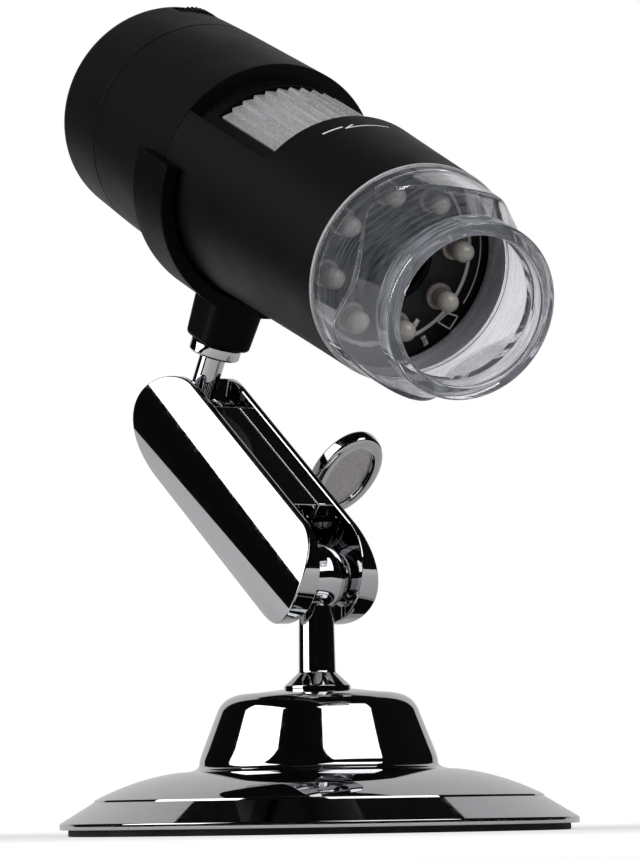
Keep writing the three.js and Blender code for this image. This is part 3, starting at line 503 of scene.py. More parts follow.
def solid(rgb, share=1.0):
    """A colour with full cover, darkened to a share of itself."""
    return [channel * share for channel in rgb] + [1.0]


CHROME = "chrome plated polished zinc"
BLASTED = "bead blasted plated zinc"
STEEL = "turned steel"
BRASS = "turned brass"
SHELL = "fine textured moulded abs"
CLIP = "plain moulded black nylon"
RING = "silver lacquered polycarbonate"
RUBBER = "moulded nitrile rubber"
GREEN = "green solder resist on glass fibre"
BLACK = "black solder resist on glass fibre"
INK = "screen printed white ink"
# White lacquer inside the nose bore, also used on the barrel's front end face as a painted highlight of
# the clear lip's edge
WHITE_BORE_AND_RIM_HIGHLIGHT = "white lacquered bore"
CLEAR = "clear moulded acrylic"
GLASS = "coated optical glass"
LAMP = "cast milky epoxy"
CHIP = "tinned ceramic chip"
SILICON = "sensor glass over silicon"
PAPER = "seamless background paper"
FLAG = "black felt flag"

# Share of the background's white that mirror rays see
MIRRORED_SHARE = 0.42

# Rings round the clear nose: their noise is squeezed along the tube and drawn out across it
RING_SQUEEZE = (0.12, 0.12, 1.0)

# Where the nose's collar begins along the tube, over a soft step
COLLAR_START = (65.5 * MM, 67.0 * MM)

# Light that comes from all round, as a share of white
ROOM_LIGHT = 0.07


def noise(tree, where, millimetres, detail):
    """A cloudy pattern whose features come out this large."""
    return node(tree, "ShaderNodeTexNoise", {
        "Vector": where, "Scale": per(millimetres), "Detail": detail}).outputs["Fac"]


def bands(tree, where, millimetres, direction, distortion=0.0):
    """Even bands along one axis, this far apart. The node runs through twenty radians in one unit."""
    return node(tree, "ShaderNodeTexWave", {
        "Vector": where, "Scale": per(millimetres) * 2 * math.pi / 20, "Distortion": distortion},
        bands_direction=direction).outputs["Color"]


def spread(tree, value, before, after=(0.0, 1.0)):
    """A value taken from one range to another, and held at its ends."""
    return node(tree, "ShaderNodeMapRange", {
        "Value": value, "From Min": before[0], "From Max": before[1], "To Min": after[0],
        "To Max": after[1]}).outputs["Result"]


def blend(tree, share, first, second, way="MIX"):
    """Two colours laid over each other."""
    return node(tree, "ShaderNodeMixRGB", {
        "Fac": share, "Color1": first, "Color2": second}, blend_type=way).outputs["Color"]


def relief(tree, height, millimetres, under=None):
    """A bump this deep, over another one if it is given."""
    sockets = {"Height": height, "Strength": 1.0, "Distance": millimetres * MM}
    if under:
        sockets["Normal"] = under
    return node(tree, "ShaderNodeBump", sockets).outputs["Normal"]


def maths(tree, operation, first, second):
    """One sum of two values."""
    return node(tree, "ShaderNodeMath", {0: first, 1: second}, operation=operation).outputs["Value"]


def principled(tree, tone, rough, normal, **sockets):
    """The main shader from its colour, roughness and relief, and constants for its other sockets."""
    made = node(tree, "ShaderNodeBsdfPrincipled", {"Base Color": tone, "Roughness": rough})
    if normal:
        tree.links.new(normal, made.inputs["Normal"])
    for name, value in sockets.items():
        made.inputs[name.replace("_", " ")].default_value = value
    return made.outputs["BSDF"]


def finish_with(tree, shader):
    """Ends a material."""
    node(tree, "ShaderNodeOutputMaterial", {"Surface": shader})


def chrome_finish(colours):
    """Nickel and chrome plate over polished zinc: a mirror, with the slow ripple that buffing leaves."""
    tree, where = started(CHROME)
    ripple = noise(tree, where, 9, 1.0)
    wipes = noise(tree, where, 1.2, 5.0)
    haze = spread(tree, wipes, (0.4, 0.7), (0.02, 0.06))
    tone = blend(tree, wipes, solid(colours.chrome), solid(colours.chrome, 0.94))
    # Ripple of six thousandths of a millimetre over nine, which bends reflections a little
    finish_with(tree, principled(tree, tone, haze, relief(tree, ripple, 0.006), Metallic=1.0))


def metal_finish(name, rgb, grain, depth, low, high, speckle=0.8, metallic=1.0):
    """Bare, blasted or flaked metal: the size and depth of its grain in millimetres, and its roughness.

    Speckle is the darkest grain's share of the colour.
    """
    tree, where = started(name)
    pits = noise(tree, where, grain, 3.0)
    rough = spread(tree, noise(tree, where, 4, 4.0), (0.3, 0.7), (low, high))
    tone = blend(tree, spread(tree, pits, (0.35, 0.6)), solid(rgb, speckle), solid(rgb))
    finish_with(tree, principled(tree, tone, rough, relief(tree, pits, depth), Metallic=metallic))


def moulded_finish(name, rgb, grain, depth, low, high, ior=1.53, sheen=0.5):
    """Moulded plastic or rubber: mould grain of a size and depth in millimetres, and its roughness.

    Sheen is how much its surface mirrors, where 0.5 is plain gloss and less is a soft matte coating.
    """
    tree, where = started(name)
    grit = noise(tree, where, grain, 2.0)
    rough = spread(tree, noise(tree, where, 7, 4.0), (0.35, 0.65), (low, high))
    tone = blend(tree, grit, solid(rgb, 0.82), solid(rgb, 1.12))
    finish_with(tree, principled(
        tree, tone, rough, relief(tree, grit, depth), IOR=ior, Specular_IOR_Level=sheen))


def board_finish(name, rgb):
    """Solder resist over woven glass fibre: the weave, two millimetres a band, shows faintly."""
    tree, where = started(name)
    weave = blend(tree, 1.0, bands(tree, where, 2.0, "X"), bands(tree, where, 2.0, "Y"), "MULTIPLY")
    tone = blend(tree, weave, solid(rgb, 0.8), solid(rgb, 1.3))
    finish_with(tree, principled(tree, tone, 0.5, relief(tree, weave, 0.003), IOR=1.4))


def clear_finish(name, rgb, milk_rgb, ior, wave, depth, rings, haze, collar_haze, rough_high, film=0.0):
    """Clear plastic or glass that lets light through to what it covers.

    Slow flow waves and fine rings round the tube come from the mould or the lathe, as bump, and some haze
    from rubbing, more of it on the collar of the mouth, which rests on what is looked at. Shadow and
    diffuse rays pass straight through, as most light does.
    """
    tree, where = started(name)
    along = node(tree, "ShaderNodeMapping", {
        "Vector": where, "Location": TUBE.inverted().to_translation(),
        "Rotation": TUBE.inverted().to_euler(), "Scale": (1.0, 1.0, 1.0)}).outputs["Vector"]
    squeezed = node(tree, "ShaderNodeVectorMath", {0: along, 1: RING_SQUEEZE}, operation="MULTIPLY")
    lines = noise(tree, squeezed.outputs["Vector"], 0.5, 3.0)
    bump = relief(tree, lines, rings, relief(tree, noise(tree, where, wave, 2.0), depth))
    rough = spread(tree, lines, (0.3, 0.7), (0.0, rough_high))
    body = principled(
        tree, solid(rgb), rough, bump, Transmission_Weight=1.0, IOR=ior, Thin_Film_Thickness=film)
    height = node(tree, "ShaderNodeSeparateXYZ", {"Vector": along}).outputs["Z"]
    rubbed = maths(
        tree, "MULTIPLY", spread(tree, height, COLLAR_START, (haze, collar_haze)),
        spread(tree, lines, (0.35, 0.7), (0.3, 1.7)))
    milk = node(tree, "ShaderNodeBsdfDiffuse", {"Color": solid(milk_rgb), "Normal": bump}).outputs["BSDF"]
    hazed = node(tree, "ShaderNodeMixShader", {0: rubbed, 1: body, 2: milk}).outputs["Shader"]
    through = node(tree, "ShaderNodeBsdfTransparent", {"Color": solid(rgb, 0.96)}).outputs["BSDF"]
    path = node(tree, "ShaderNodeLightPath").outputs
    easy = maths(tree, "MAXIMUM", path["Is Shadow Ray"], path["Is Diffuse Ray"])
    pick = node(tree, "ShaderNodeMixShader", {0: easy, 1: hazed, 2: through})
    finish_with(tree, pick.outputs["Shader"])


def lamp_finish(colours):
    """Cast epoxy of a 3 mm lamp: a milky dome over a greyer body, whose moulded ribs are drawn as painted
    shade in dark and light bands.
    """
    tree, where = started(LAMP)
    height = node(tree, "ShaderNodeSeparateXYZ", {"Vector": where}).outputs["Z"]
    # The milky part starts about 3 mm above the lamp's seat
    milk = spread(tree, height, (2.4 * MM, 3.6 * MM))
    # Painted shade: the body's ribs are shown as bands that darken its colour to about a third
    rings = bands(tree, where, 1.4, "Z", 1.5)
    dark = blend(tree, rings, solid(colours.body, 0.35), solid(colours.body))
    tone = blend(tree, milk, dark, solid(colours.dome))
    finish_with(tree, principled(
        tree, tone, 0.35, relief(tree, noise(tree, where, 0.3, 2.0), 0.004), IOR=1.54, Coat_Weight=0.6,
        Coat_Roughness=0.12))


def silicon_finish(colours):
    """Sensor under its cover glass: a dark face whose thin layers tint what it mirrors."""
    tree, where = started(SILICON)
    cells = node(tree, "ShaderNodeTexChecker", {"Vector": where, "Scale": per(0.4)}).outputs["Fac"]
    tone = blend(tree, cells, solid(colours.silicon, 0.5), solid(colours.silicon))
    finish_with(tree, principled(tree, tone, 0.1, None, IOR=1.52, Thin_Film_Thickness=380.0))


def seen_only(tree):
    """How much of the background's white a ray sees: all for camera and glass rays, some for mirror rays.

    The photograph's paper is brightened after the fact, and its chrome still shows the paper as grey.
    """
    path = node(tree, "ShaderNodeLightPath").outputs
    mirrored = maths(tree, "MULTIPLY", path["Is Glossy Ray"], MIRRORED_SHARE)
    total = maths(tree, "MAXIMUM", path["Is Camera Ray"], mirrored)
    return maths(tree, "MAXIMUM", total, path["Is Transmission Ray"])


def paper_finish(colours):
    """White background paper: a matte sheet that a camera sees as plain white, with the shadow kept.

    The lamps light it less further off, so the white that is added grows with the distance.
    """
    tree, where = started(PAPER)
    tone = blend(tree, noise(tree, where, 3, 4.0), solid(colours.paper, 0.50), solid(colours.paper, 0.51))
    sheet = node(tree, "ShaderNodeBsdfDiffuse", {"Color": tone})
    reach = node(tree, "ShaderNodeVectorMath", {0: where}, operation="LENGTH").outputs["Value"]
    strength = maths(tree, "MULTIPLY", seen_only(tree), spread(tree, reach, (0.06, 0.25), (0.5, 0.85)))
    white = node(tree, "ShaderNodeEmission", {"Color": solid(colours.paper), "Strength": strength})
    both = node(tree, "ShaderNodeAddShader", {0: sheet.outputs["BSDF"], 1: white.outputs["Emission"]})
    finish_with(tree, both.outputs["Shader"])
    bpy.data.materials[PAPER].cycles.emission_sampling = "NONE"


class MICROSCOPE_OT_finishes(Operator):
    """Every finish of the object, from plated chrome to white ink"""
    bl_idname = "microscope.finishes"
    bl_label = "Finishes"

    def execute(self, context):
        colours = context.scene.microscope_finishes
        chrome_finish(colours)
        metal_finish(BLASTED, colours.satin, grain=0.35, depth=0.05, low=0.38, high=0.5)
        metal_finish(STEEL, colours.steel, grain=0.5, depth=0.004, low=0.22, high=0.34)
        metal_finish(BRASS, colours.brass, grain=0.5, depth=0.004, low=0.2, high=0.32)
        # Spark-eroded mould grain is 0.1 mm, drawn at 0.3 mm so that it shows
        moulded_finish(SHELL, colours.shell, grain=0.3, depth=0.008, low=0.44, high=0.5, sheen=0.1)
        moulded_finish(CLIP, colours.clip, grain=0.6, depth=0.008, low=0.4, high=0.48, sheen=0.06)
        # Silver flake in grey lacquer: half of the surface mirrors like metal, half is plain lacquer
        metal_finish(RING, colours.ring, grain=0.25, depth=0.012, low=0.24, high=0.34,
                     speckle=0.6, metallic=0.5)
        moulded_finish(RUBBER, colours.rubber, grain=0.4, depth=0.03, low=0.75, high=0.9, ior=1.52)
        moulded_finish(INK, colours.ink, grain=0.2, depth=0.01, low=0.4, high=0.55, ior=1.5)
        # The bore's white lacquer, which also paints the highlight on the barrel's front end face
        moulded_finish(WHITE_BORE_AND_RIM_HIGHLIGHT, colours.ink, grain=0.6, depth=0.01, low=0.25, high=0.4, ior=1.5)
        metal_finish(CHIP, colours.ink, grain=0.5, depth=0.05, low=0.2, high=0.35,
                     speckle=0.3, metallic=0.5)
        board_finish(GREEN, colours.green_board)
        board_finish(BLACK, colours.black_board)
        clear_finish(CLEAR, colours.clear, colours.haze, ior=1.49, wave=5, depth=0.02, rings=0.002,
                     haze=0.1, collar_haze=0.3, rough_high=0.03)
        clear_finish(GLASS, colours.glass, colours.haze, ior=1.52, wave=8, depth=0.001, rings=0.0,
                     haze=0.01, collar_haze=0.01, rough_high=0.02, film=420.0)
        lamp_finish(colours)
        silicon_finish(colours)
        paper_finish(colours)
        moulded_finish(FLAG, colours.felt, grain=1, depth=0.0, low=0.9, high=1.0)
        return {"FINISHED"}


# Stage


# The photograph's camera, solved from the foot's ellipse and the tube's outline
CAMERA_PLACE = Vector((614.41, -444.68, 3.94)) * MM
CAMERA_TURN = math.radians(54.03)
CAMERA_PITCH = math.radians(4.31)
CAMERA_ROLL = math.radians(0.9)

# Middle of the object, which the soft boxes face and the flags stand round
MIDDLE = Vector((-5.0, 0.0, 60.0)) * MM


def towards(bearing, height):
    """A direction from the object: bearing from the camera round to its right, and height, in degrees."""
    to_camera = Vector((math.sin(CAMERA_TURN), -math.cos(CAMERA_TURN), 0))
    to_right = Vector((math.cos(CAMERA_TURN), math.sin(CAMERA_TURN), 0))
    level = to_camera * math.cos(math.radians(bearing)) + to_right * math.sin(math.radians(bearing))
    return level * math.cos(math.radians(height)) + Vector((0, 0, math.sin(math.radians(height))))


def flag(name, bearings, heights, distance):
    """A curved black flag round part of the set, between two bearings and two heights."""
    rows = []
    for bearing in evenly(*bearings, 24):
        column = [MIDDLE + towards(bearing, height) * distance for height in evenly(*heights, 8)]
        outer = [MIDDLE + (point - MIDDLE) * 1.01 for point in reversed(column)]
        rows.append(column + outer)
    made = skin(name, rows, TABLE)
    made.data.materials.append(bpy.data.materials[FLAG])
    made.visible_camera = False
    made.visible_diffuse = False
    made.visible_shadow = False


def soft_box(name, bearing, height, width, tall, radiance, distance):
    """A square soft box aimed at the object. Radiance 1 looks as bright as white paper."""
    lamp = bpy.data.lights.new(name, "AREA")
    lamp.shape = "RECTANGLE"
    lamp.size = width
    lamp.size_y = tall
    lamp.energy = radiance * math.pi * width * tall
    away = towards(bearing, height)
    aim = away.to_track_quat("Z", "Y").to_matrix().to_4x4()
    made = placed(name, lamp, Matrix.Translation(MIDDLE + away * distance) @ aim)
    made.visible_camera = False


class MICROSCOPE_OT_stage(Operator):
    """Paper sweep, two soft boxes, black flags, world and camera"""
    bl_idname = "microscope.stage"
    bl_label = "Stage"

    def execute(self, context):
        size = context.scene.microscope_stage
        # Floor, then a quarter circle up into the backdrop
        bend_radius = 300 * MM
        thickness = 0.5 * MM
        line = [(-size.paper_front, 0.0)]
        for angle in evenly(0, math.pi / 2, 16):
            line.append((
                size.paper_back + bend_radius * math.sin(angle), bend_radius * (1 - math.cos(angle))))
        line.append((size.paper_back + bend_radius, size.paper_height))
        away = towards(180, 0)
        right = towards(90, 0)
        rows = []
        for reach, height in line:
            edge = away * reach + Vector((0, 0, height))
            back = Vector((0, 0, -thickness)) if height < bend_radius else away * thickness
            left_edge = edge - right * size.paper_half_width
            right_edge = edge + right * size.paper_half_width
            rows.append([left_edge, right_edge, right_edge + back, left_edge + back])
        # The camera looks through the backdrop, which would hide the object from behind
        for name, part in (("paper_floor", rows[:2]), ("paper_backdrop", rows[1:])):
            sheet = skin(name, part, TABLE, capped=True)
            sheet.data.materials.append(bpy.data.materials[PAPER])
            sheet.visible_camera = name == "paper_floor"
        # Bearing and height in degrees, width and height in metres, then brightness and distance
        soft_box("left_soft_box", -74, 24, 0.74, 0.80, 3.2, size.box_distance)
        soft_box("right_soft_box", 40, 38, 0.86, 0.70, 2.2, size.box_distance)
        # The dark room behind the boxes, left open where the paper is, and its ceiling above the paper
        flag("room_flag", (-146, 148), (-45, 89.5), size.flag_distance)
        flag("ceiling_flag", (148, 214), (46, 89.5), size.flag_distance)
        world = bpy.data.worlds.new("studio")
        context.scene.world = world
        world.use_nodes = True
        tree = world.node_tree
        tree.nodes.clear()
        white = [1.0, 1.0, 1.0]
        tone = blend(tree, seen_only(tree), solid(white, ROOM_LIGHT), solid(white))
        sky = node(tree, "ShaderNodeBackground", {"Color": tone})
        node(tree, "ShaderNodeOutputWorld", {"Surface": sky.outputs["Background"]})
        camera = bpy.data.cameras.new("camera")
        camera.lens = size.lens
        camera.clip_start = 0.05
        camera.clip_end = 20
        level = Matrix.Rotation(CAMERA_TURN, 4, "Z") @ Matrix.Rotation(math.pi / 2 + CAMERA_PITCH, 4, "X")
        aim = level @ Matrix.Rotation(-CAMERA_ROLL, 4, "Z")
        context.scene.camera = placed("camera", camera, Matrix.Translation(CAMERA_PLACE) @ aim)
        context.scene.view_settings.view_transform = "Standard"
        return {"FINISHED"}


# Stand


class MICROSCOPE_OT_foot(Operator):
    """Pressed and plated round foot with its raised hub, and the rubber pad under it"""
    bl_idname = "microscope.foot"
    bl_label = "Foot and pad"

    def execute(self, context):
        size = context.scene.microscope_foot
        fine = 0.12 * MM
        cavity = size.edge_radius - size.wall
        ceiling = size.edge_height - size.wall / 2
        slope_middle = (
            (size.edge_radius + size.slope_radius) / 2,
            (size.edge_height + size.slope_height) / 2 + size.slope_bulge)
        edge = (size.edge_radius, size.edge_height)
        slope_end = (size.slope_radius, size.slope_height)
        hub_foot = (size.hub_radius, size.hub_foot)
        shoulder = (size.shoulder_radius, size.shoulder_height)
        # The hub's side leaves its foot upright and leans in over a short curve
        hub_turn = (size.hub_radius, size.hub_foot + 0.6 * MM)
        hub_side = tuple(Vector(hub_turn).lerp(Vector(shoulder), 0.2))
        crown = (size.crown_radius, size.crown_height)
        hub_bore = 12.7 * MM
        hub_ceiling = 16.7 * MM
        stud_bore = 3.3 * MM
        corners = [
            (cavity, size.rim_bottom, 0),
            (size.rim_radius, size.rim_bottom, fine),
            (size.rim_radius, size.rim_top, fine * 2),
            (size.edge_radius + fine, size.edge_height - size.edge_step, 0),
            (*edge, fine),
            *bend(edge, slope_middle, slope_end, 24),
            (*slope_end, 0),
            *bend(slope_end, (size.hub_radius, size.slope_height), hub_foot, 16),
            (*hub_foot, 0),
            *bend(hub_foot, hub_turn, hub_side, 10),
            (*hub_side, 0),
            (*shoulder, 0),
            *bend(shoulder, (size.shoulder_radius - size.shoulder_inset, size.crown_height), crown, 24),
            (*crown, 0),
            (5.0 * MM, size.top_height, 0),
            (stud_bore, size.top_height, 0),
            (stud_bore, hub_ceiling, 0),
            (hub_bore, hub_ceiling, 0),
            (hub_bore, ceiling, 0),
            (cavity, ceiling, 0),
        ]
        shell = revolve("foot_shell", rounded(corners), TABLE, WIDE_TURN)
        settle(shell, "base", [CHROME], ["base_shell"], crease=24)
        pad_top = size.rim_bottom - 0.04 * MM
        plinth = cavity - 0.3 * MM
        pad = revolve("foot_pad", rounded([
            (0, 0, 0),
            (size.pad_radius, 0, 0.25 * MM),
            (size.pad_radius, pad_top, fine),
            (plinth, pad_top, 0),
            (plinth, 1.3 * MM, fine),
            (0, 1.3 * MM, 0),
        ]), TABLE, WIDE_TURN)
        settle(pad, "base", [RUBBER], ["base_pad"])
        return {"FINISHED"}


def ball_side(radius, neck):
    """A ball's profile from its neck round to its far end, as (radius, distance towards the neck)."""
    turns = evenly(math.asin(neck / radius), math.pi, 40)
    return [(radius * math.sin(t), radius * math.cos(t)) for t in turns]


class MICROSCOPE_OT_studs(Operator):
    """Lower and upper ball studs, and the collar under the clip"""
    bl_idname = "microscope.studs"
    bl_label = "Ball studs and collar"

    def execute(self, context):
        size = context.scene.microscope_studs
        seat = context.scene.microscope_foot.top_height
        radius = size.ball_radius
        centre = pivot("lower_tilt").z
        fine = 0.12 * MM
        lower_ball = [(x, centre - y, 0) for x, y in ball_side(radius, size.post_top)]
        spigot = 3.0 * MM
        spigot_foot = 16.8 * MM
        corners = [
            (0, spigot_foot, 0),
            (spigot, spigot_foot, 0),
            (spigot, seat, 0),
            (size.flange_radius, seat, 0),
            (size.flange_radius, seat + 0.45 * MM, fine),
            (size.post_foot, size.flange_top, 0.6 * MM),
            *lower_ball,
        ]
        lower = revolve("lower_ball_post", rounded(corners, 6), TABLE)
        settle(lower, "lower_stud", [CHROME], ["lower_ball_stud"])
        upper_ball = [(x, y, 0) for x, y in reversed(ball_side(radius, size.neck_radius))]
        thread = 1.6 * MM
        top = size.neck_length + size.thread_length
        corners = [
            *upper_ball,
            (size.neck_radius, size.neck_length, 0),
            (thread, size.neck_length, 0),
            (thread, top, 0),
            (0, top, 0),
        ]
        upper = revolve("upper_ball_post", rounded(corners, 6), STEM)
        settle(upper, "upper_stud", [CHROME], ["upper_ball_stud"])
        bottom = size.neck_length - 0.45 * MM
        bore = size.neck_radius + 0.03 * MM
        lip = 0.3 * MM
        collar = revolve("clip_collar", rounded([
            (bore, bottom, 0),
            (size.collar_radius - lip, bottom, 0),
            (size.collar_radius, bottom + lip, fine),
            (size.collar_radius, bottom + size.collar_height, fine),
            (bore, bottom + size.collar_height, 0),
        ]), STEM, TURN)
        settle(collar, "upper_stud", [CHROME], ["stud_collar"])
        return {"FINISHED"}


def plate_rows(size):
    """Outlines of one crowned plate, from its outer face down to its slot side."""
    span = ARM_LINE.length
    low = size.end_inset
    high = span - size.end_inset
    turns = evenly(-math.pi / 2, math.pi / 2, 48)

    def crown(x):
        return size.face - (size.crown - math.sqrt(size.crown ** 2 - x ** 2))

    def outline(radius, depth):
        row = [(radius * math.sin(t), low - radius * math.cos(t)) for t in turns]
        row += [(radius * math.sin(t), high + radius * math.cos(t)) for t in reversed(turns)]
        return [(x, depth(x), z) for x, z in row]

    full = size.end_radius
    soft = size.edge_round
    # How far a quarter round falls short of its corner, at a quarter, half and three quarters of it
    early, half, late = 0.62 * soft, 0.29 * soft, 0.08 * soft
    return [
        outline(full - soft, crown),
        outline(full - early, lambda x: crown(x) - late),
        outline(full - half, lambda x: crown(x) - half),
        outline(full - late, lambda x: crown(x) - early),
        outline(full, lambda x: crown(x) - soft),
        outline(full, lambda x: size.half_slot + soft),
        outline(full - half, lambda x: size.half_slot + half),
        outline(full - soft, lambda x: size.half_slot),
    ]


def arm_half(name, size, side):
    """One clamp plate with its half block and ball seats. Side is -1 at the front and 1 at the rear."""
    rows = [[(x, side * y, z) for x, y, z in row] for row in plate_rows(size)]
    half = skin(name, rows, ARM, capped=True)
    reach = size.end_radius - size.block_recess
    inner = size.split + side * 0.06 * MM
    outer = side * (size.half_slot + 1.4 * MM)
    low = Vector((-reach, min(inner, outer), size.block_inset))
    high = Vector((reach, max(inner, outer), ARM_LINE.length - size.block_inset))
    combine(half, block("half_block", low, high, 0.3 * MM, ARM), "UNION")
    seat = bpy.context.scene.microscope_studs.ball_radius + size.seat_space
    combine(half, ball("seat", seat, ARM), "DIFFERENCE")
    combine(half, ball("seat", seat, ARM @ Matrix.Translation((0, 0, ARM_LINE.length))), "DIFFERENCE")
    return half


class MICROSCOPE_OT_arm(Operator):
    """The two crowned clamp plates that grip both balls"""
    bl_idname = "microscope.arm"
    bl_label = "Clamp arm"

    def execute(self, context):
        size = context.scene.microscope_arm
        skin_left = 1.4 * MM
        past = 9 * MM
        front = arm_half("front_plate", size, -1)
        combine(front, rod("hole", size.screw_radius, skin_left - size.face, 3 * MM, SCREW), "DIFFERENCE")
        settle(front, "arm", [CHROME], ["arm_front_shell"])
        rear = arm_half("rear_plate", size, 1)
        combine(rear, rod("hole", size.screw_radius, -3 * MM, past, SCREW), "DIFFERENCE")
        spotface = size.washer_place - 0.05 * MM
        combine(rear, rod("seat", size.washer_radius + 0.3 * MM, spotface, past, SCREW), "DIFFERENCE")
        settle(rear, "arm", [CHROME], ["arm_rear_shell"])
        return {"FINISHED"}


class MICROSCOPE_OT_thumb_piece(Operator):
    """Washer and oval thumb piece of the clamping screw"""
    bl_idname = "microscope.thumb_piece"
    bl_label = "Washer and thumb piece"

    def execute(self, context):
        size = context.scene.microscope_arm
        bore = size.screw_radius - 0.25 * MM
        top = size.washer_place + size.washer_height
        washer = revolve("washer", rounded([
            (bore, size.washer_place, 0),
            (size.washer_radius, size.washer_place, 0.1 * MM),
            (size.washer_radius, top, 0.2 * MM),
            (bore, top, 0),
        ]), SCREW)
        settle(washer, "arm", [STEEL], ["clamp_washer"])
        place = SCREW @ Matrix.Rotation(size.paddle_turn, 4, "Z")
        half = size.paddle_thickness / 2
        floor = half - size.paddle_recess
        rim = size.paddle_rim
        # From the recess's floor over the rim to its outer edge, as (inset, height)
        side = [
            (rim + 0.10 * MM, floor),
            (rim, floor + 0.06 * MM),
            (rim - 0.12 * MM, half - 0.12 * MM),
            (rim - 0.30 * MM, half - 0.01 * MM),
            (rim / 2, half + 0.05 * MM),
            (0.45 * MM, half - 0.05 * MM),
            (0.18 * MM, half - 0.25 * MM),
            (0.04 * MM, half - 0.6 * MM),
        ]
        profile = side + [(inset, -height) for inset, height in reversed(side)]
        rows = []
        for inset, height in profile:
            wide = size.paddle_width / 2 - inset
            tall = size.paddle_height / 2 - inset
            turns = [2 * math.pi * (i + 0.5) / TURN for i in range(TURN)]
            rows.append([
                (size.paddle_side + wide * math.sin(t), height, size.paddle_rise - tall * math.cos(t))
                for t in turns])
        paddle = skin("thumb_piece", rows, place, capped=True)
        neck_top = size.hub_top + 1.9 * MM
        hub = revolve("hub", rounded([
            (0, size.hub_place, 0),
            (size.hub_radius, size.hub_place, 0.15 * MM),
            (size.hub_radius, size.hub_top, 0.5 * MM),
            (2.1 * MM, neck_top, 0.5 * MM),
            (1.0 * MM, neck_top + 1.5 * MM, 0.3 * MM),
            (0, neck_top + 1.7 * MM, 0),
        ]), place, TURN)
        combine(paddle, hub, "UNION")
        screw_bore = 1.75 * MM
        screw_end = 10.8 * MM
        combine(paddle, rod("bore", screw_bore, size.hub_place - MM, screw_end, place), "DIFFERENCE")

        def grainy(face):
            return abs(abs(face.center.y) - floor) < 0.02 * MM and abs(face.normal.y) > 0.9

        settle(paddle, "knob", [CHROME, BLASTED], ["wing_knob"], second=grainy)
        return {"FINISHED"}


class MICROSCOPE_OT_clip(Operator):
    """Half-round black clip with its square post"""
    bl_idname = "microscope.clip"
    bl_label = "Clip"

    def execute(self, context):
        size = context.scene.microscope_clip
        origin = pivot("tube_roll") - axis("tube_roll") * size.tube_offset
        place = axes(origin, axis("cradle_swivel"), axis("tube_roll"))
        soft = 0.3 * MM

        def section(inset):
            return rounded([
                (size.band_rear + inset, size.band_inner + inset, soft),
                (size.band_front - inset, size.band_inner + inset, soft),
                (size.band_front - inset, size.band_outer - inset, soft),
                (size.band_rear + inset, size.band_outer - inset, soft),
            ])

        ends = [(180.0, 0.3), (180.08, 0.15), (180.3, 0.05), (180.8, 0.0)]
        middle = [(180.8 + 358.4 * i / 192, 0.0) for i in range(1, 96)]
        stops = ends + middle + [(540 - angle, inset) for angle, inset in reversed(ends)]
        rows = []
        for angle, inset in stops:
            c = math.cos(math.radians(angle))
            s = math.sin(math.radians(angle))
            rows.append([(x, radius * c, radius * s) for x, radius in section(inset * MM)])
        clip = skin("tube_clip", rows, place, capped=True)
        rows = []
        bevel = 0.8 * MM
        top = -size.band_inner - 0.6 * MM
        steps = [(bevel * (1 - math.sin(t)), size.post_bottom + bevel * (1 - math.cos(t)))
                 for t in (0, 0.4, 0.8, 1.2, math.pi / 2)]
        for inset, height in steps + [(0, top)]:
            share = 1 + 0.08 * (height - size.post_bottom) / (top - size.post_bottom)
            long = (size.post_length / 2 - inset) * share
            wide = (size.post_width / 2 - inset) * share
            corner = max(size.post_corner - inset, 0.5 * MM)
            outline = rounded([(-long, -wide, corner), (long, -wide, corner), (long, wide, corner),
                               (-long, wide, corner)], 8)
            rows.append([(x, y, height) for x, y in outline])
        combine(clip, skin("post", rows, place, capped=True), "UNION")
        socket = rod("socket", size.socket_radius, size.post_bottom - MM, size.socket_top, place)
        combine(clip, socket, "DIFFERENCE")
        settle(clip, "cradle", [CLIP], ["cradle_clip"])
        return {"FINISHED"}


# Tube


class MICROSCOPE_OT_rear_cap(Operator):
    """Rear cap with its slot for the brightness wheel"""
    bl_idname = "microscope.rear_cap"
    bl_label = "Rear cap"

    def execute(self, context):
        size = context.scene.microscope_tube
        seam = size.cap_seam - 0.12 * MM
        lip_outer = size.bore - 0.3 * MM
        lip_inner = lip_outer - 1.2 * MM
        wall_front = size.rear_end + 2 * MM
        lip = 3.8 * MM
        gland_hole = 3.7 * MM
        cap = revolve("cap_rear", rounded([
            (gland_hole, size.rear_end, 0),
            (size.rear_radius, size.rear_end, size.rear_round),
            (size.cap_radius, seam, 0.2 * MM),
            (lip_outer, seam, 0),
            (lip_outer, seam + lip, 0),
            (lip_inner, seam + lip, 0),
            (lip_inner, seam - lip, 0),
            (size.bore, seam - lip, 0),
            (size.bore, wall_front, 0),
            (gland_hole, wall_front, 0),
        ], 10), TUBE, WIDE_TURN)
        half = size.dial_thickness / 2 + 0.3 * MM
        slot_place = TUBE @ Matrix.Translation((size.dial_height, 0, size.dial_place))
        combine(cap, rod("slot", size.dial_radius + 0.6 * MM, -half, half, slot_place), "DIFFERENCE")
        settle(cap, "tube", [SHELL], ["rear_cap"])
        return {"FINISHED"}


def barrel_radius(size, place):
    """Radius of the front barrel at a place along the tube, on its one curve."""
    start = (0, size.seam_radius)
    control = (size.waist_place, size.waist_radius)
    end = (size.nose_end, size.nose_radius)
    a = start[0] - 2 * control[0] + end[0]
    b = 2 * (control[0] - start[0])
    t = (-b + math.sqrt(b * b + 4 * a * place)) / (2 * a)
    return start[1] * (1 - t) ** 2 + control[1] * 2 * t * (1 - t) + end[1] * t * t


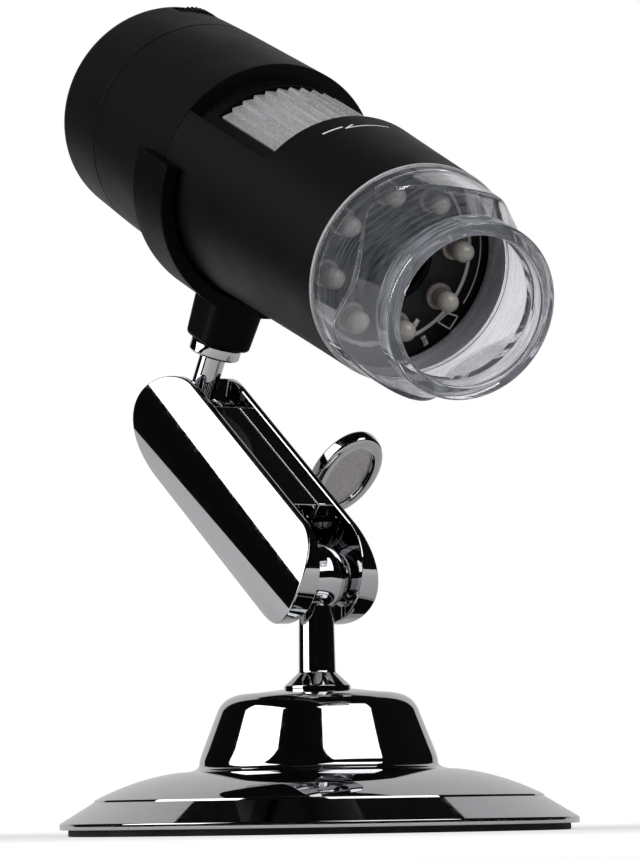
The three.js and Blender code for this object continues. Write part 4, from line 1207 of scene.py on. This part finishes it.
class MICROSCOPE_OT_barrels(Operator):
    """Rear barrel, and front barrel with the window over the focus ring"""
    bl_idname = "microscope.barrels"
    bl_label = "Barrels"

    def execute(self, context):
        size = context.scene.microscope_tube
        seam = 0.1 * MM
        fine = 0.15 * MM
        lip_outer = size.bore - 0.3 * MM
        lip_inner = lip_outer - 1.2 * MM
        lip = 3.8 * MM
        rear = revolve("barrel_rear", rounded([
            (size.bore, size.cap_seam + seam, 0),
            (size.cap_radius, size.cap_seam + seam, fine),
            (size.seam_radius, -seam, fine),
            (lip_outer, -seam, 0),
            (lip_outer, lip, fine),
            (lip_inner, lip, 0),
            (lip_inner, -lip - seam, 0),
            (size.bore, -lip - seam, 0),
        ]), TUBE, WIDE_TURN)
        settle(rear, "tube", [SHELL], ["rear_barrel"])
        board_bore = size.bore - 0.3 * MM
        ring_step = size.ring_front + 0.3 * MM
        board_step = size.board_place + 0.3 * MM
        white_from = board_step + 0.7 * MM
        start = (size.seam_radius, seam)
        end = (size.nose_radius, size.nose_end)
        front = revolve("barrel_front", rounded([
            (size.liner_bore, seam, 0),
            (*start, fine),
            *bend(start, (size.waist_radius, size.waist_place), end, 40),
            (*end, 0.12 * MM),
            (size.nose_bore, size.nose_end, 0),
            (size.nose_bore, white_from, 0),
            (size.nose_bore, board_step, 0),
            (board_bore, board_step, 0),
            (board_bore, ring_step, 0),
            (size.liner_bore, ring_step, 0),
        ]), TUBE, WIDE_TURN)
        combine(front, window_cutter(size, size.window_half, size.bore), "DIFFERENCE")
        combine(front, window_cutter(size, size.liner_half, size.bore - MM), "DIFFERENCE")

        # Bore faces past white_from take the white lacquer. The front end face is painted white as a
        # painted highlight, standing in for light caught by the clear lip's edge over it
        def white(face):
            in_bore = face.center.xy.length < size.nose_bore + 0.05 * MM
            return face.center.z > (white_from if in_bore else size.nose_end - 0.02 * MM)

        settle(front, "tube", [SHELL, WHITE_BORE_AND_RIM_HIGHLIGHT], ["front_barrel"], second=white)
        return {"FINISHED"}


def window_cutter(size, half, inner):
    """A block bent round the barrel down to an inner radius, with two rounded front corners."""
    corner = size.window_corner
    reach = corner / size.seam_radius
    outer = size.seam_radius + MM
    side = [(half - reach * (1 - math.cos(t)), corner * (1 - math.sin(t)))
            for t in evenly(0, math.pi / 2, 10)]
    middle = [((half - reach) * (1 - i / 20), 0.0) for i in range(1, 40)]
    stops = side + middle + [(-angle, back) for angle, back in reversed(side)]
    rows = []
    for angle, back in stops:
        front = size.window_end - back
        c = math.cos(angle)
        s = math.sin(angle)
        rows.append([
            (inner * c, inner * s, -MM), (inner * c, inner * s, front),
            (outer * c, outer * s, front), (outer * c, outer * s, -MM)])
    return skin("window", rows, TUBE, capped=True)


class MICROSCOPE_OT_marks(Operator):
    """Printed focus marks on the barrel: a short line and an arrow"""
    bl_idname = "microscope.marks"
    bl_label = "Focus marks"

    def execute(self, context):
        size = context.scene.microscope_tube

        def printed(name, ends, width):
            (from_turn, from_place), (to_turn, to_place) = ends
            path = []
            for t in evenly(0, 1, 24):
                angle = math.radians(from_turn + (to_turn - from_turn) * t)
                place = (from_place + (to_place - from_place) * t) * MM
                normal = Vector((math.cos(angle), math.sin(angle), 0.04))
                radius = barrel_radius(size, place) - 0.01 * MM
                path.append((Vector((math.cos(angle) * radius, math.sin(angle) * radius, place)), normal))
            return ribbon(name, path, width * MM, 0.03 * MM, TUBE)

        # Turns in degrees from the top of the tube and places in millimetres from its seam
        lines = [
            printed("line", ((36.0, 31.2), (24.9, 31.2)), 0.4),
            printed("shaft", ((24.4, 32.0), (0.6, 32.0)), 0.34),
            printed("barb", ((24.4, 32.05), (19.0, 31.0)), 0.34),
        ]
        marks = merge(lines, "focus_marks")
        settle(marks, "tube", [INK])
        return {"FINISHED"}


def toothed(name, profile, teeth, shape, place):
    """A ring with teeth.

    Profile points are (radius, height, tooth height), and shape holds one tooth's (turn, rise) points.
    """
    rows = []
    for radius, height, tooth in profile:
        row = []
        for i in range(teeth):
            for share, rise in shape:
                angle = 2 * math.pi * (i + share) / teeth
                reach = radius + tooth * rise
                row.append((reach * math.cos(angle), reach * math.sin(angle), height))
        rows.append(row)
    return skin(name, rows, place, joined=True)


class MICROSCOPE_OT_dial(Operator):
    """Toothed brightness wheel in the rear cap, and the grommet of the lead"""
    bl_idname = "microscope.dial"
    bl_label = "Brightness wheel and grommet"

    def execute(self, context):
        size = context.scene.microscope_tube
        half = size.dial_thickness / 2
        depth = 0.3 * MM
        root = size.dial_radius - depth
        bore = 1.9 * MM
        soft = 0.25 * MM
        place = TUBE @ Matrix.Translation((size.dial_height, 0, size.dial_place))
        tooth = [(0.0, 0.0), (0.2, 0.35), (0.35, 1.0), (0.65, 1.0), (0.8, 0.35)]
        wheel = toothed("brightness_wheel", [
            (bore, -half, 0), (root - MM, -half, 0), (root - soft, -half, 0), (root, soft - half, depth),
            (root, half - soft, depth), (root - soft, half, 0), (root - MM, half, 0), (bore, half, 0),
        ], size.dial_teeth, tooth, place)
        settle(wheel, "dial", [CLIP], ["led_dial"])
        rear = size.rear_end - 1.75 * MM
        face = size.rear_end - 0.05 * MM
        inside = size.rear_end + 2.3 * MM
        gland = revolve("lead_grommet", rounded([
            (1.9 * MM, rear, 0.3 * MM),
            (5.0 * MM, rear, 0.7 * MM),
            (5.0 * MM, face, 0.1 * MM),
            (3.5 * MM, face, 0),
            (3.5 * MM, inside, 0),
            (5.0 * MM, inside, 0),
            (5.0 * MM, inside + 1.2 * MM, 0.3 * MM),
            (1.9 * MM, inside + 1.2 * MM, 0),
        ]), TUBE)
        settle(gland, "tube", [RUBBER], ["cable_gland"])
        return {"FINISHED"}


class MICROSCOPE_OT_focus_ring(Operator):
    """Grey focus ring with saw-tooth ribs"""
    bl_idname = "microscope.focus_ring"
    bl_label = "Focus ring"

    def execute(self, context):
        size = context.scene.microscope_tube
        rib = size.rib_height
        root = size.ring_tip - rib
        soft = 0.2 * MM
        web = 2.2 * MM
        web_bore = 11.3 * MM
        web_front = 23.7 * MM
        # A long slow rise and a short steep fall, which catches the light as a narrow line
        tooth = [
            (0.0, 0.0), (0.25, 0.32), (0.5, 0.65), (0.74, 0.95), (0.78, 1.0), (0.83, 0.93), (0.97, 0.05)]
        ring = toothed("focus_ring_grip", [
            (web_bore, size.ring_rear, 0),
            (root - soft, size.ring_rear, 0.3 * rib),
            (root, size.ring_rear + soft, rib),
            (root, size.ring_front - soft, rib),
            (root - soft, size.ring_front, 0.5 * rib),
            (size.ring_bore, size.ring_front, 0),
            (size.ring_bore, web_front, 0),
            (web_bore, web_front, 0),
            (web_bore, web_front - web, 0),
            (size.ring_bore, web_front - web, 0),
            (size.ring_bore, size.ring_rear + web, 0),
            (web_bore, size.ring_rear + web, 0),
        ], size.ribs, tooth, TUBE)
        settle(ring, "focus", [RING], ["focus_ring"], crease=25)
        return {"FINISHED"}


class MICROSCOPE_OT_lamp_board(Operator):
    """Black lamp board with its white print and small chips"""
    bl_idname = "microscope.lamp_board"
    bl_label = "Lamp board"

    def execute(self, context):
        tube = context.scene.microscope_tube
        size = context.scene.microscope_nose
        front = tube.board_place
        rear = front - 1.4 * MM
        fine = 0.08 * MM
        board = revolve("lamp_board", rounded([
            (size.board_hole, rear, fine),
            (size.board_radius, rear, fine),
            (size.board_radius, front, fine),
            (size.board_hole, front, fine),
        ]), TUBE, WIDE_TURN)
        settle(board, "tube", [BLACK], ["led_board"])
        up = Vector((0, 0, 1))

        def arc(radius, from_turn, to_turn, width):
            turns = evenly(math.radians(from_turn), math.radians(to_turn), 96)
            path = [(Vector((math.cos(t) * radius, math.sin(t) * radius, front)), up) for t in turns]
            return ribbon("arc", path, width, 0.03 * MM, TUBE)

        def line(points, width):
            path = [(Vector((x * MM, y * MM, front)), up) for x, y in points]
            return ribbon("line", path, width, 0.03 * MM, TUBE)

        # Corners of the printed square beside the fifth lamp, in millimetres from the tube's axis
        square = [(-6.31, -12.18), (-6.51, -14.03), (-8.64, -13.35), (-7.95, -10.98)]
        prints = [arc(size.print_radius, 0, 360, 0.55 * MM), arc(14.95 * MM, -62, -107, 0.2 * MM)]
        for i, corner in enumerate(square):
            prints.append(line([corner, square[(i + 1) % 4]], 0.22 * MM))
        settle(merge(prints, "board_print"), "tube", [INK])
        # Small chips between the lamps, as (x, y, turn)
        chips = []
        for x, y, turned_by in ((-11.1, -9.6, 40), (-8.85, -7.2, -20)):
            turned = Matrix.Rotation(math.radians(turned_by), 4, "Z")
            spot = Matrix.Translation((x * MM, y * MM, front)) @ turned
            chip = block("chip", Vector((-0.8, -0.4, 0)) * MM, Vector((0.8, 0.4, 0.45)) * MM, fine, TABLE)
            chip.data.transform(spot)
            chips.append(chip)
        chips[0].matrix_world = TUBE
        settle(merge(chips, "board_chips"), "tube", [CHIP])
        return {"FINISHED"}


class MICROSCOPE_OT_lamps(Operator):
    """Eight domed lamps round the view"""
    bl_idname = "microscope.lamps"
    bl_label = "Lamps"

    def execute(self, context):
        front = context.scene.microscope_tube.board_place
        size = context.scene.microscope_nose
        radius = size.lamp_radius
        dome = size.lamp_height - radius
        turns = evenly(0, math.pi / 2, 16)[1:]
        arc = [(radius * math.cos(t), dome + radius * math.sin(t), 0) for t in turns]
        flange = 0.8 * MM
        profile = rounded([
            (0, 0, 0),
            (size.lamp_flange, 0, 0),
            (size.lamp_flange, flange, 0.12 * MM),
            (radius, flange, 0.08 * MM),
            (radius, dome, 0),
            *arc,
        ])
        for i in range(size.lamps):
            around = 2 * math.pi * (i + 0.5) / size.lamps
            spot = Matrix.Translation((
                size.lamp_circle * math.cos(around), size.lamp_circle * math.sin(around),
                front + 0.05 * MM))
            lamp = revolve(f"lamp_{i + 1}", profile, TUBE @ spot, SMALL_TURN)
            settle(lamp, "tube", [LAMP], [f"led_lamp_{i + 1}"], own_axes=True)
        return {"FINISHED"}


class MICROSCOPE_OT_optics(Operator):
    """Light baffle, objective lens and its retaining ring"""
    bl_idname = "microscope.optics"
    bl_label = "Optics behind the lamps"

    def execute(self, context):
        fine = 0.08 * MM
        # Radii and places of the inner pieces in millimetres, as in the part's source
        baffle = revolve("baffle_cone", rounded([
            (9.1 * MM, 26.8 * MM, 0), (9.9 * MM, 26.8 * MM, fine), (7.4 * MM, 42.1 * MM, 0),
            (6.6 * MM, 42.1 * MM, 0), (6.6 * MM, 44.1 * MM, fine), (5.8 * MM, 44.1 * MM, fine),
            (6.6 * MM, 42.0 * MM, 0),
        ]), TUBE)
        settle(baffle, "tube", [CLIP], ["light_baffle"])
        front = 19 * MM
        seat = front - 3.6 * MM
        rear = seat + 0.1 * MM
        rim = rear + 1.0 * MM
        dome = bend((6.9 * MM, rim), (5.0 * MM, rim + 1.1 * MM), (0, rim + 1.2 * MM), 16)
        lens = revolve("front_lens", rounded([
            (0, rear, 0), (6.9 * MM, rear, fine), (6.9 * MM, rim, 0), *dome, (0, rim + 1.2 * MM, 0),
        ]), TUBE)
        settle(lens, "lens", [GLASS], ["objective_lens"])
        place = rim + 0.1 * MM
        retainer = revolve("lens_ring", rounded([
            (5.6 * MM, place, fine), (6.9 * MM, place, fine), (6.9 * MM, place + 0.8 * MM, fine),
            (5.9 * MM, place + 0.8 * MM, fine),
        ]), TUBE)
        settle(retainer, "lens", [CLIP], ["lens_retainer"])
        return {"FINISHED"}


class MICROSCOPE_OT_nose(Operator):
    """Clear nose whose shoulder runs round in four lobes"""
    bl_idname = "microscope.nose"
    bl_label = "Clear nose"

    def execute(self, context):
        size = context.scene.microscope_nose
        rim = context.scene.microscope_tube.nose_end + 0.1 * MM
        soft = 0.45 * MM
        rows = []
        for i in range(WIDE_TURN):
            around = 2 * math.pi * i / WIDE_TURN
            edge = size.wave_middle + size.wave_reach * math.cos(size.lobes * around)
            inner_edge = edge - 0.9 * MM
            edge_radius = size.skirt_radius - 0.3 * MM
            throat_inner = size.throat_place - 0.6 * MM
            outer = [
                (size.spigot_outer, size.spigot_rear, 0),
                (size.spigot_outer, rim, 0),
                (size.lip_radius, rim, 0.08 * MM),
                (size.lip_radius, rim + 0.25 * MM, 0.08 * MM),
                (size.skirt_radius, rim + 0.6 * MM, 0.2 * MM),
                (edge_radius, edge, 0.5 * MM),
                (size.throat_radius, size.throat_place, 0.25 * MM),
                (size.collar_radius, size.throat_place + 0.35 * MM, 0.2 * MM),
                (size.collar_radius, size.tip, soft),
                (size.collar_bore, size.tip, soft),
                (size.collar_bore, throat_inner, 0.5 * MM),
                (size.inner_radius - 0.4 * MM, inner_edge, 0.5 * MM),
                (size.inner_radius, size.spigot_rear + 1.6 * MM, 0.3 * MM),
                (size.spigot_outer - 0.12 * MM, size.spigot_rear, 0),
            ]
            c = math.cos(around)
            s = math.sin(around)
            rows.append([(radius * c, radius * s, height) for radius, height in rounded(outer, 6)])
        nose = skin("clear_nose", rows, TUBE, joined=True)
        settle(nose, "tube", [CLEAR], ["clear_shroud"], crease=60)
        return {"FINISHED"}


class MICROSCOPE_OT_inner_parts(Operator):
    """Finishes of the parts that stay as they came with the frame"""
    bl_idname = "microscope.inner_parts"
    bl_label = "Inner parts"

    def execute(self, context):
        kept = {
            STEEL: ["base_weight", "base_screw", "clamp_screw", "dimmer_pot", "optics_screw_1",
                    "optics_screw_2", "optics_screw_3"],
            BRASS: ["cradle_insert"],
            CLIP: ["optics_tube", "lens_cell"],
            GREEN: ["dimmer_board", "sensor_board"],
            SILICON: ["image_sensor"],
            GLASS: ["infrared_filter"],
        }
        for finish, names in kept.items():
            for name in names:
                part = frame["nodes"][name]
                part.data.materials.clear()
                part.data.materials.append(bpy.data.materials[finish])
        return {"FINISHED"}


STEPS = [
    MICROSCOPE_OT_finishes,
    MICROSCOPE_OT_stage,
    MICROSCOPE_OT_foot,
    MICROSCOPE_OT_studs,
    MICROSCOPE_OT_arm,
    MICROSCOPE_OT_thumb_piece,
    MICROSCOPE_OT_clip,
    MICROSCOPE_OT_rear_cap,
    MICROSCOPE_OT_barrels,
    MICROSCOPE_OT_marks,
    MICROSCOPE_OT_dial,
    MICROSCOPE_OT_focus_ring,
    MICROSCOPE_OT_lamp_board,
    MICROSCOPE_OT_lamps,
    MICROSCOPE_OT_optics,
    MICROSCOPE_OT_nose,
    MICROSCOPE_OT_inner_parts,
]

GROUPS = {
    "microscope_foot": FootSizes,
    "microscope_studs": StudSizes,
    "microscope_arm": ArmSizes,
    "microscope_clip": ClipSizes,
    "microscope_tube": TubeSizes,
    "microscope_nose": NoseSizes,
    "microscope_stage": StageSizes,
    "microscope_finishes": Finishes,
}


class MICROSCOPE_PT_panel(Panel):
    """Lists the building steps in the 3D view's sidebar"""
    bl_label = "Microscope"
    bl_idname = "MICROSCOPE_PT_panel"
    bl_space_type = "VIEW_3D"
    bl_region_type = "UI"
    bl_category = "Microscope"

    def draw(self, context):
        for step in STEPS:
            self.layout.operator(step.bl_idname, text=step.bl_label)


def register():
    """Makes the groups, the operators and the panel known to Blender."""
    for name, group in GROUPS.items():
        bpy.utils.register_class(group)
        setattr(bpy.types.Scene, name, PointerProperty(type=group))
    for step in STEPS:
        bpy.utils.register_class(step)
    bpy.utils.register_class(MICROSCOPE_PT_panel)


def unregister():
    """Takes them away again."""
    bpy.utils.unregister_class(MICROSCOPE_PT_panel)
    for step in reversed(STEPS):
        bpy.utils.unregister_class(step)
    for name, group in reversed(GROUPS.items()):
        delattr(bpy.types.Scene, name)
        bpy.utils.unregister_class(group)


def main():
    """Builds every piece in order."""
    register()
    for step in STEPS:
        family, name = step.bl_idname.split(".")
        getattr(getattr(bpy.ops, family), name)()


if __name__ == "__main__":
    main()
